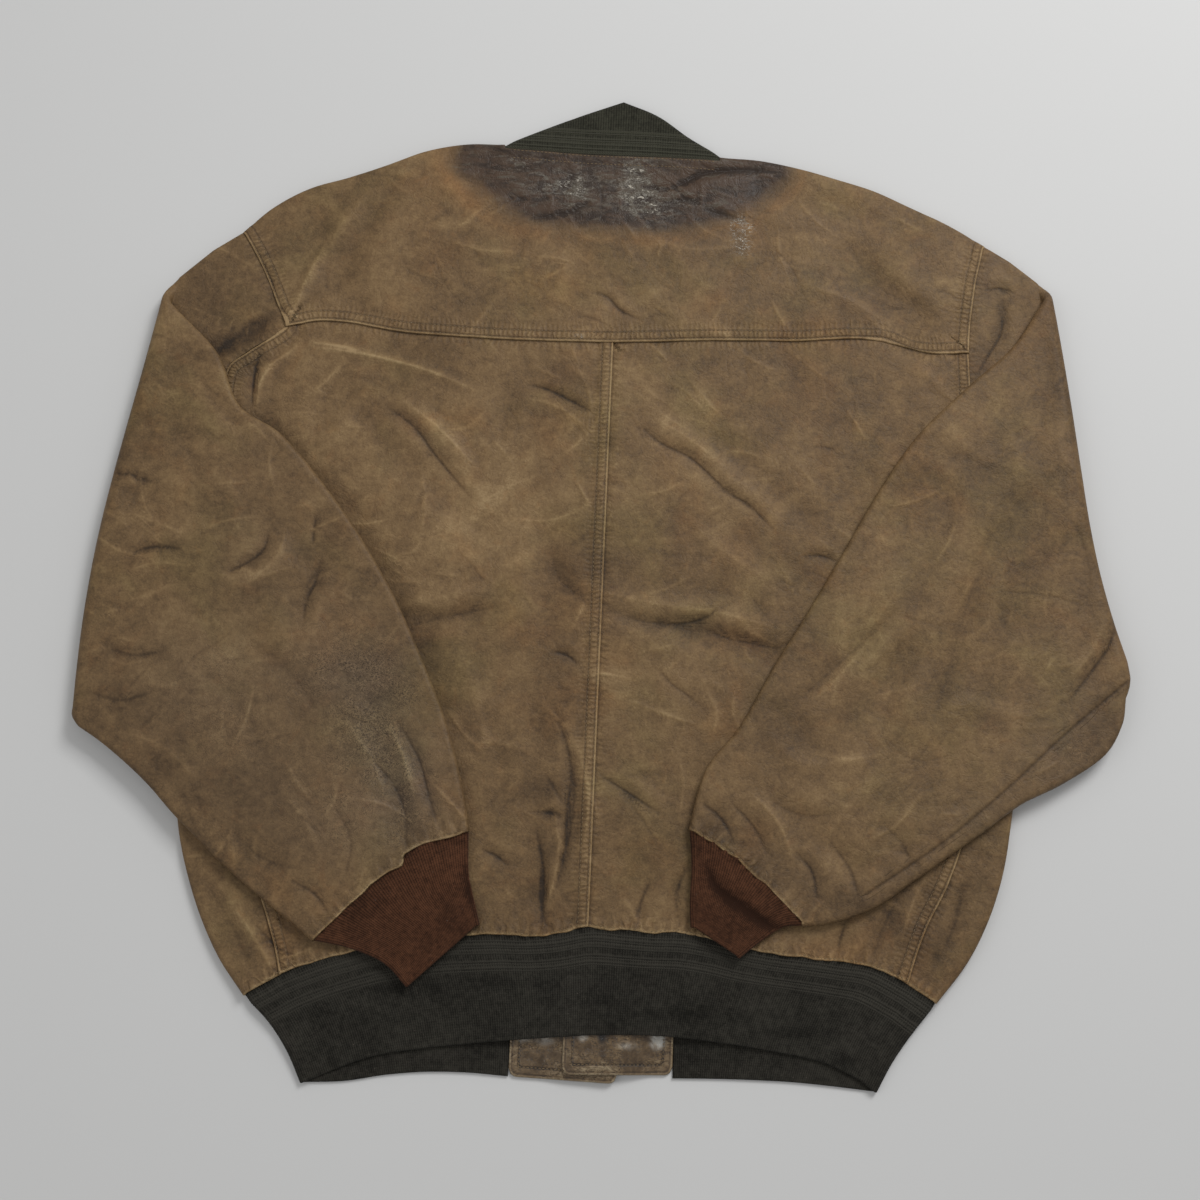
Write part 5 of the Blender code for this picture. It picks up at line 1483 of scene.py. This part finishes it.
def knit_finish(name, valley, ridge, pitch, courses=()):
    """Ribbed knit: rounded ribs, painted lighter on their crowns and darker in the valleys between
    them as light and shade, small slanted stitches along each rib, a soft haze of fibre, painted
    shade where the shade mark lies in folds, and a few raised courses across the ribs where they
    are given."""
    made, shader, place = new_finish(
        name, {"Specular IOR Level": 0.06, "Sheen Weight": 0.03, "Sheen Roughness": 0.6}
    )
    rib, row, shade = map(place.mark, ("rib", "row", "shade"))
    wander = (place.noise(60.0, 3.0) - 0.5) * 0.0006
    wave = ((rib + wander) * (math.pi / pitch)).sine()
    round_rib = abs(wave) ** 0.7
    stitch = (row * (2 * math.pi / 0.0016) + abs(wave) * 2.2).sine() * 0.5 + 0.5
    cross = sum(
        row.bell(start + number * gap, gap * 0.30)
        for start, count, gap in courses for number in range(count)
    )
    tuft = place.noise(900.0, 4.0, 0.7)
    broad = place.noise(18.0, 4.0, 0.6)
    cross = cross * (0.45 + stitch * 0.75)
    patchy = place.noise(55.0, 4.0, 0.65, 0.8)
    fuzz = place.moved((1.0, 3.0, 0.6)).noise(280.0, 3.0, 0.6)
    # round_rib and shade paint light and shade: rib crowns lighter, rib valleys and folds darker.
    light = (
        0.12 + round_rib * 0.38 + stitch * 0.12 + cross * 0.95 + (tuft - 0.5) * 0.8
        + (broad - 0.5) * 0.6 + (patchy - 0.5) * 0.55 + (fuzz - 0.5) * 0.8 - shade * 0.6
    )
    colour = light.rise(0.0, 1.0).blend(valley, ridge)
    pill = place.noise(700.0, 2.0).rise(0.70, 0.78) * 0.35
    colour = pill.blend(colour, (0.15, 0.12, 0.10))
    height = round_rib * 0.24 + stitch * 0.06 + cross * 0.60
    height = height + (tuft - 0.5) * 0.14 + (patchy - 0.5) * 0.3
    feed(shader, colour, 0.85 + (tuft - 0.5) * 0.1, height)
    return made


def knit_relief(plan, seed):
    """The knit lies softer than the hide: two sizes of low waves."""
    return 0.0004 * waves(plan, 0.035, seed) + 0.00018 * waves(plan, 0.013, seed + 1)


CUFF_CREASES = [
    ([(-128, -197), (-134, -216), (-146, -226)], 4, -1.2),
    ([(80, -216), (88, -234), (109, -249), (127, -260), (149, -264)], 5, -3),
    ([(-117, -200), (-130, -212), (-150, -230), (-172, -249)], 7, -1.2),
    ([(-94, -222), (-90, -243), (-84, -264)], 3.4, -1.8),
    ([(-110, -225), (-100, -255), (-85, -285)], 7, 0.8),
    ([(85, -235), (88, -255), (90, -275)], 5, 0.6),
]


def cuff_wall(end, sections, cuff, seed):
    """The cuff's middle surface: from inside the sleeve's last section to the open end, and how
    far round and how far along the knit each point is."""
    share = np.linspace(0, 1, 74)
    shares, turns, edge = tube_round(share, share)
    first = sleeve_tube(*end, np.array([float(LAST)]), share, share)[0][0]
    before, *rows = np.array([*sections[-2:], *cuff]) / 1000
    rows, turn = np.array(rows), end[-1]
    cuff_lines = []
    for cut, sign in ((slice(0, 2), -turn), (slice(2, 4), turn)):
        out = mitres(rows[:, cut], sign, before[cut])
        cuff_lines += [rows[:, cut] - (CUFF_ROLL + KNIT_Z) * out, out]
    plan = tube_plan(np.hstack(cuff_lines), shares, turns, edge, CUFF_ROLL)
    rings = raised(plan, np.broadcast_to(CUFF_Z - CUFF_ROLL * np.sin(turns), plan.shape[:2]))
    middles = np.vstack([before, rows]).reshape(-1, 2, 2).mean(axis=1)
    back = middles[0] - middles[1]
    back /= np.linalg.norm(back)
    middle = first[:, 2].mean()
    rings[0, :, :2] = first[:, :2] + 0.0016 * back
    rings[0, :, 2] = middle + 0.74 * (first[:, 2] - middle)
    at = steps_between(3, np.linalg.norm(middles[1] - middles[-1]), 0.0016, 0.001, 0.001)
    points = finer(rings, at)
    up = np.clip(-np.sin(turns), 0, 1)[None, :]
    folds = creases(points[..., :2], drawn(CUFF_CREASES))[0]
    height = knit_relief(points[..., :2], seed) + folds
    hem_off = np.linalg.norm(points[..., :2] - points[:1, :, :2], axis=-1)
    girth = travelled(points[len(at) // 3])
    height = height + gathers(girth[None, :], hem_off, 0.0064, 0.0005, seed + 2)
    points[..., 2] += up * np.clip(height, -0.0023, 0.002)
    run = travelled(points[:, 30])[:, None]
    # shade: painted shade in the creases' troughs on the cuff's upper wall.
    return points, {"rib": girth[None, :], "row": run, "shade": np.clip(-folds / 0.0022, 0, 1) * up}


rust_knit = knit_finish("rust_knit", (0.022, 0.0088, 0.0044), (0.098, 0.0400, 0.0195), 0.0016)
for name, node, below, sections, cuff, seed, width, area in (
    ("cuff_left_knit", "cuff_left", "back_left", SECTIONS_LEFT, CUFF_LEFT, 90, 0.20, 0.0134),
    ("cuff_right_knit", "cuff_right", "back_right", SECTIONS_RIGHT, CUFF_RIGHT, 95, 0.16, 0.0082),
):
    end = sleeve_ends[node.replace("cuff", "sleeve")]
    knit = shell(name, KNIT, [cuff_wall(end, sections, cuff, seed)], rust_knit)
    sewn_on(knit, node)


# ------------------------------------------------------------------------------------------------
# The collar: a doubled strip of dark olive ribbed knit, sewn into the neck.  It lies flat, goes
# over its own edge and comes back below to the front neck, where its two ends meet.

COLLAR_ROLL = 0.0025
COLLAR_SLIT = 0.0008  # between the collar's two ends
KNIT_TUCK = 0.0014  # how far a knit piece goes into its seam
COLLAR_EDGE = [
    (-0.0990, 0.3430), (-0.0560, 0.3630), (-0.0165, 0.3800), (-0.0025, 0.3854), (0.0125, 0.3815),
    (0.0435, 0.3610), (0.0790, 0.3400),
]

collar_edge = np.vstack([curve(COLLAR_EDGE[:4], 3), curve(COLLAR_EDGE[3:], 3)[1:]])
collar_out = mitres(collar_edge, 1)
collar_axis = collar_edge - (COLLAR_ROLL + KNIT_Z) * collar_out
collar_foot = neck + np.linspace(-0.003, 0.003, 7)[:, None] * [1, 0]
upper, lower = (
    patch(collar_axis, foot, *(np.linspace(collar_axis[k], foot[k], 4) for k in (0, -1)))
    for foot in (collar_foot, front_neck)
)
columns = steps_between(6, 0.175, 0.0018)
down = steps_between(3, 0.046, 0.0018, near_end=0.001)
plan = finer_grid(upper, down, columns, (), (3,))
rise = (down / 3)[:, None]
neck_off = np.abs(beside(plan, neck_seam)[0])
height = (1 - rise) * (KNIT_Z + 2 * COLLAR_ROLL) + rise * BACK_Z
height = height + knit_relief(plan, 31) * (1 - rise) - 0.0010 * bell(neck_off, TUCK)
plan[..., 1] -= KNIT_TUCK * bell(neck_off, TUCK)
grids = [(raised(plan, height), {"rib": plan[..., 0], "row": neck_off})]
over = rolled(plan[0], finer(collar_out, columns, (3,)), height[0], KNIT_Z, COLLAR_ROLL)
around = neck_off[0] + (math.pi / 2 - HALF_TURN) * COLLAR_ROLL
grids.append((over, {"rib": plan[0, :, 0], "row": around}))
down = steps_between(3, 0.10, 0.0030)
rise = down / 3
for low, high, end, sign in ((0, 3, -1, -1), (3, 6, 0, 1)):
    inside = columns[(columns > low) & (columns < high)]
    plan = finer_grid(lower, down, np.concatenate([[low], inside, [high]]))
    plan[:, end, 0] += sign * COLLAR_SLIT / 2 * np.minimum(1, 8 * rise)
    lap = rise[:, None] ** 2 * OVERLAP_RISE * overlap(plan[-1, :, 0]) * (low > 0)
    marks = {"rib": plan[..., 0], "row": 0.05 + np.linalg.norm(plan - plan[:1], axis=-1)}
    grids.append((raised(plan, KNIT_Z + lap), marks))
olive_knit = knit_finish(
    "olive_knit", (0.0080, 0.0078, 0.0054), (0.042, 0.0410, 0.0285), 0.0020,
    courses=[(0.0025, 2, 0.0024), (0.0085, 3, 0.0024), (0.0175, 2, 0.0026)],
)
collar = shell("collar_knit", KNIT, grids, olive_knit)
sewn_on(collar, "collar")


# ------------------------------------------------------------------------------------------------
# The waistband: one strip of dark ribbed knit from waist tab to waist tab, round both sides, with
# two groups of raised courses near the seam.  The hide is gathered on to it.

BAND_EDGE_BACK = [
    (-0.2025, -0.3841), (-0.1815, -0.3745), (-0.1535, -0.3635), (-0.1185, -0.3565),
    (-0.0765, -0.3505), (-0.0335, -0.3455), (0.0085, -0.3415), (0.0515, -0.3405),
    (0.0945, -0.3435), (0.1365, -0.3485), (0.1725, -0.3555), (0.1930, -0.3645), (0.2065, -0.3735),
]
BAND_EDGE_FRONT = [
    (-0.2025, -0.3841), (-0.1845, -0.3835), (-0.1605, -0.3785), (-0.0965, -0.3715),
    (-0.0555, -0.3730), (0.0615, -0.3695), (0.0955, -0.3685), (0.1735, -0.3700),
    (0.2065, -0.3735),
]
BAND_DEPTH = 0.074  # from the seam to the waistband's edge
BAND_EDGE_HEIGHT = [
    (-0.2025, 0.0036), (-0.1400, 0.0036), (-0.0900, 0.0046), (-0.0555, 0.0062), (-0.0200, 0.0086),
    (0.0250, 0.0087), (0.0600, 0.0066), (0.0900, 0.0048), (0.1400, 0.0036), (0.2065, 0.0036),
]


def band_back_height(share, plan):
    """Middle of the waistband's back wall, from the hem seam (share 0) to its edge (share 1)."""
    edge = smooth(BAND_EDGE_HEIGHT, plan[..., 0].ravel())[:, 0].reshape(plan.shape[:-1])
    return (1 - share) * (BACK_Z - hollows(plan, LAID_HOLLOWS)) + share * edge


# The waistband's folds, painted darker as shade, as in the tables of tones.
BAND_SHADES = [
    (145, -335, 28, 4, 0.45), (68, -325, 30, 5, 0.30), (180, -352, 16, 5, 0.40),
    (-140, -316, 40, 5, 0.28), (-50, -308, 35, 4, 0.24), (6, -318, 28, 4, 0.26),
    (-190, -336, 18, 6, 0.30),
]


def band_turn(band, side_axis_end, before, turn):
    """Where the waistband turns round a side: its axis, and its reach from the axis."""
    edge = curve(band, 3)
    out = mitres(edge, turn, before)
    radius = (band_back_height(np.linspace(0, 1, 4), edge) - KNIT_Z) / 2
    axis = edge - (radius + KNIT_Z)[:, None] * out
    radius[0], axis[0] = ROLL, side_axis_end
    return axis, radius[:, None] * out


before_left, before_right = curve(SIDE_LEFT, 8)[-2], curve(SIDE_RIGHT, 8)[-2]
band_axis_left, reach_left = band_turn(BAND_LEFT, side_axis_left[-1], before_left, -1)
band_axis_right, reach_right = band_turn(BAND_RIGHT, side_axis_right[-1], before_right, 1)
end_left, end_right = side_seam_left[-1], side_seam_right[-1]
hem = np.vstack([
    band_axis_left[0], (band_axis_left[0] + end_left) / 2,
    across(HEM_BACK, both_ways(end_left[0], end_right[0], 11)),
    (band_axis_right[0] + end_right) / 2, band_axis_right[0],
])
edge_x = np.interp(hem[:, 0], hem[[0, -1], 0], [band_axis_left[-1, 0], band_axis_right[-1, 0]])
edge = across(BAND_EDGE_BACK, edge_x)
edge[0], edge[-1] = band_axis_left[-1], band_axis_right[-1]
band_plan = patch(hem, edge, band_axis_left, band_axis_right)
down = steps_between(3, 0.082, 0.0022, 0.0010, 0.0012)
along = steps_between(24, 0.50, 0.0022)
plan = finer_grid(band_plan, down, along)
share = (down / 3)[:, None]
hem_off = np.abs(beside(plan, hem_back)[0])
run = travelled(plan[len(down) // 2])
ripple = gathers(run[None, :], hem_off, 0.0080, 0.0006, 33)
height = band_back_height(share, plan) + np.maximum(knit_relief(plan, 35), -0.0006)
height = height + ripple - 0.0011 * bell(hem_off, 0.0045) - 0.0005 * bell(hem_off - 0.032, 0.006)
plan[..., 1] += KNIT_TUCK * bell(hem_off, TUCK)
row = BAND_DEPTH * share
shade = patches(plan, BAND_SHADES)
grids = [(raised(plan, height), {"rib": run[None, :], "row": row, "shade": shade})]
for column, reach, sign in ((0, reach_left, -1), (-1, reach_right, 1)):
    over = rolled(plan[:, column], finer(reach, down), height[:, column], KNIT_Z, 1)
    rib = run[column] + sign * (math.pi / 2 - HALF_TURN) * 0.003
    grids.append((over, {"rib": rib, "row": row[:, 0]}))
for side_axis, axis, tab_x, column in (
    (side_axis_left, band_axis_left, TAB_LEFT_ENDS[0], 0),
    (side_axis_right, band_axis_right, TAB_RIGHT_ENDS[1], -1),
):
    top = across(HEM_FRONT, np.linspace(tab_x, side_axis[-1, 0], 6))
    top[-1] = side_axis[-1]
    edge = across(BAND_EDGE_FRONT, np.linspace(tab_x, axis[-1, 0], 6))
    edge[-1] = axis[-1]
    under = patch(top, edge, np.linspace(top[0], edge[0], 4), axis)
    columns = steps_between(5, 0.17, 0.0028)
    fine = finer_grid(under, down, columns)
    fine[:, -1] = plan[:, column]
    grids.append((raised(fine, KNIT_Z), {"rib": travelled(fine[len(down) // 2]), "row": row}))
dark_knit = knit_finish(
    "dark_knit", (0.0068, 0.0062, 0.0048), (0.037, 0.0340, 0.0270), 0.0017,
    courses=[(0.0050, 5, 0.0023), (0.0205, 4, 0.0023)],
)
band = shell("waistband_knit", KNIT, grids, dark_knit)
sewn_on(band, "waistband")


# ------------------------------------------------------------------------------------------------
# The waist tabs: two doubled pieces of smooth, shiny hide that carry the fronts' edges down over
# the ends of the waistband, the left one over the right, held by a button between them.

TAB_LEFT_END = (-0.3730, -0.3750)  # y of the tab's lower corners
TAB_RIGHT_END = (-0.3700, -0.3675)
BUTTON_RISE = 0.0018 + CLEARANCE
# What share of its rise the button gives the tabs, by how far down (-y) and by x.
BUTTON_LIFT = [(0.2900, 0.0), (0.3080, 0.35), (0.3270, 1.0), (0.3800, 1.0)]
BUTTON_REACH = [(-0.0555, 0.0), (-0.0300, 0.0), (-0.0175, 0.6), (-0.0025, 1.0), (0.0615, 1.0)]
TAB_CORNER = 0.006
TAB_ROW, TAB_PITCH = 0.0072, 0.0028  # the stitch row's distance from the tab's edge, and its beat
THREAD_KNOT = (0.0105, -0.3415)  # where the button's thread comes through the tab
# The tabs' painted highlights, as in the tables of tones.
TAB_SHINE = [
    (50, -344, 5, 6, 0.50), (-3.5, -342.5, 4, 4, 0.32), (-46, -342, 6, 6, 0.36),
    (-30, -347, 8, 4, 0.20), (28, -348, 10, 4, 0.16),
]


def tab_finish():
    """The tabs' hide: the same brown, polished by wear, with painted highlights where it shines,
    dark cracks, rubbed pale borders and a dark spot where the button's thread comes through."""
    made, shader, place = new_finish("tab_leather", {"Specular IOR Level": 0.42})
    off, tone, knot, shine = map(place.mark, ("seam_off", "tone", "knot", "shine"))
    patchy = place.noise(38.0, 4.0, 0.6, 0.9)
    cloudy = place.moved((4.0, 2.0, 1.0)).noise(110.0, 4.0, 0.6, 1.0)
    fine = place.noise(500.0, 4.0, 0.65)
    crack = abs(place.moved((0, 0, 0), (0, 0, 0.3), (1, 2.2, 1)).noise(170.0, 5.0, 0.65, 1.2) - 0.5)
    cracked = crack.bell(0.0, 0.022) * patchy.rise(0.38, 0.56)
    edge = off.bell(0.0005, 0.0012)
    border = 1 - off.rise(0.0060, 0.0080)
    needle = off.bell(0.0072, 0.0008) + off.bell(0.0022, 0.0007) * 0.5
    light = (
        tone + (patchy - 0.5) * 1.5 + (cloudy - 0.5) * 0.7 + (fine - 0.5) * 0.4 + edge * 0.30
        + border * 0.08 - cracked * 0.50 - needle * 0.45 + shine * 0.8
    )
    colour = light.ramp([
        (0.0, (0.013, 0.0080, 0.0052)), (0.35, (0.062, 0.0385, 0.0190)),
        (0.6, (0.128, 0.0835, 0.0420)), (1.0, (0.260, 0.2000, 0.1200)),
    ])
    # shine and painted_glint: painted highlights, a paler tone and whitish glints where the tabs
    # shine.
    painted_glint = shine.rise(0.04, 0.34) * (cloudy * 3.0 - 0.8)
    colour = (painted_glint.at_least(0.0) * 0.9).blend(colour, (0.50, 0.50, 0.47))
    colour = (knot * (0.4 + fine)).blend(colour, (0.010, 0.0085, 0.0080))
    roughness = 0.26 + (cloudy - 0.5) * 0.35 + cracked * 0.25 + border * 0.12 - shine * 0.12
    height = (
        (patchy - 0.5) * 1.3 + (cloudy - 0.5) * 0.35 + (fine - 0.5) * 0.05 - cracked * 0.12
        - needle * 0.28 + knot * fine * 0.6
    )
    feed(shader, colour, roughness, height)
    return made


def tab_plan(ends, corners):
    """The plan of a tab: from the front's hem down, with its lower corners rounded off."""
    xs = np.linspace(*ends, 44)
    top = across(HEM_FRONT, xs)
    y = np.interp(xs, ends, corners)
    near = np.minimum(xs - ends[0], ends[1] - xs)
    y = y + TAB_CORNER - np.sqrt(TAB_CORNER**2 - np.maximum(TAB_CORNER - near, 0) ** 2)
    end = np.column_stack([xs, y])
    down = np.linspace(0, 1, 46)[:, None, None]
    return (1 - down) * top + down * end


def tab_relief(plan, outline, seed):
    """A tab's distance from its three free edges, and its height: soft dents, thin at the edge,
    with a groove where it is stitched."""
    off = np.abs(beside(plan, outline)[0])
    height = 0.00075 * waves(plan, 0.016, seed) + 0.0003 * waves(plan, 0.007, seed + 1)
    return off, height - 0.0005 * bell(off, 0.0012) - 0.0004 * bell(off - TAB_ROW, 0.0014)


tab_leather = tab_finish()
for name, node, rests_on, ends, corners, seed in (
    ("tab_left_hide", "waist_tab_left", [], TAB_LEFT_ENDS, TAB_LEFT_END, 61),
    ("tab_right_hide", "waist_tab_right", ["front_right"], TAB_RIGHT_ENDS, TAB_RIGHT_END, 62),
):
    plan = tab_plan(ends, corners)
    x, y = plan[..., 0], plan[..., 1]
    off, height = tab_relief(plan, np.vstack([plan[:, 0], plan[-1], plan[::-1, -1]]), seed)
    lift = BUTTON_RISE * np.interp(-y, *np.transpose(BUTTON_LIFT))
    if rests_on:
        base = FRONT_Z + overlap(x) * (OVERLAP_RISE + lift)
    else:
        base = FRONT_Z + lift * np.interp(x, *np.transpose(BUTTON_REACH))
    crown = 0.0008 * (1 - bell(off, 0.006))
    points = raised(plan, np.maximum(base + height * 0.6 + crown, FRONT_Z))
    knot_off = np.hypot(x - THREAD_KNOT[0], 0.55 * (y - THREAD_KNOT[1]))
    marks = {
        "seam_off": off, "tone": 0.50, "knot": 1 - ease(knot_off, 0.0018, 0.0045),
        "shine": patches(plan, TAB_SHINE),
    }
    tab = shell(name, LEATHER, [(points, marks)], tab_leather)
    border = np.vstack([plan[2:, 0], plan[-1, 1:], plan[-1:1:-1, -1]])
    places, ways = row_beside(border, TAB_ROW, TAB_PITCH)
    known = points.reshape(-1, 3)
    nearest = np.argmin(((known[None, :, :2] - places[:, None]) ** 2).sum(axis=-1), axis=1)
    row = raised(places, known[nearest, 2] + STITCH_RISE), raised(ways, 0.0)
    threads = seam_threads(name + "_stitches", [row])
    sewn_on(tab, node)


# ------------------------------------------------------------------------------------------------
# The button: a plain moulded disc under the left tab, which shows only as a bump in the hide.

def button_finish():
    """Dark horn-like plastic with faint streaks."""
    made, shader, place = new_finish("button")
    streak = place.moved((0, 0, 0), (0, 0, 0.5), (1, 6, 1)).noise(180.0, 4.0)
    colour = streak.blend((0.014, 0.010, 0.008), (0.050, 0.036, 0.026))
    feed(shader, colour, 0.32 + streak * 0.12, streak * 0.02)
    return made


bpy.data.objects["waist_button"].material_slots[0].material = button_finish()


# ------------------------------------------------------------------------------------------------
# The floor, the lamps and the camera.

FLOOR_HALF, FLOOR_Z = 6.0, -0.0004
CAMERA_AT, CAMERA_AIM = Vector((0.0065, -0.2852, 1.2325)), Vector((-0.0045, -0.0235, 0.0))
CAMERA_RIGHT = Vector((0.99912, 0.04188, 0.0))
LENS, SENSOR = 50, 36

floor_look = {
    "Base Color": (0.55, 0.55, 0.545, 1), "Roughness": 0.85, "Specular IOR Level": 0.2,
}
floor_mesh = bpy.data.meshes.new("floor")
floor_mesh.from_pydata(
    [(x * FLOOR_HALF, y * FLOOR_HALF, FLOOR_Z) for x, y in ((-1, -1), (1, -1), (1, 1), (-1, 1))],
    [], [(0, 1, 2, 3)],
)
floor_mesh.materials.append(new_finish("floor", floor_look)[0])
placed("floor", floor_mesh)

world = bpy.data.worlds.new("studio")
bpy.context.scene.world = world
world.use_nodes = True
world.node_tree.nodes["Background"].inputs["Color"].default_value = (1, 1, 1, 1)
world.node_tree.nodes["Background"].inputs["Strength"].default_value = 0.50

for name, at, side, power in (
    ("key", (1.00, 1.40, 1.70), 0.9, 39.0), ("fill", (-1.6, -0.6, 1.7), 1.6, 6.0),
):
    data = bpy.data.lights.new(name, "AREA")
    data.shape, data.size, data.energy = "SQUARE", side, power
    lamp = placed(name, data)
    lamp.location = at
    lamp.rotation_euler = (-Vector(at)).to_track_quat("-Z", "Y").to_euler()

camera_data = bpy.data.cameras.new("camera")
camera_data.lens, camera_data.sensor_width = LENS, SENSOR
camera = placed("camera", camera_data)
forward = (CAMERA_AIM - CAMERA_AT).normalized()
right = (CAMERA_RIGHT - CAMERA_RIGHT.dot(forward) * forward).normalized()
turned = Matrix((right, right.cross(forward), -forward)).transposed().to_4x4()
camera.matrix_world = Matrix.Translation(CAMERA_AT) @ turned
bpy.context.scene.camera = camera
bpy.context.scene.view_settings.view_transform = "Standard"
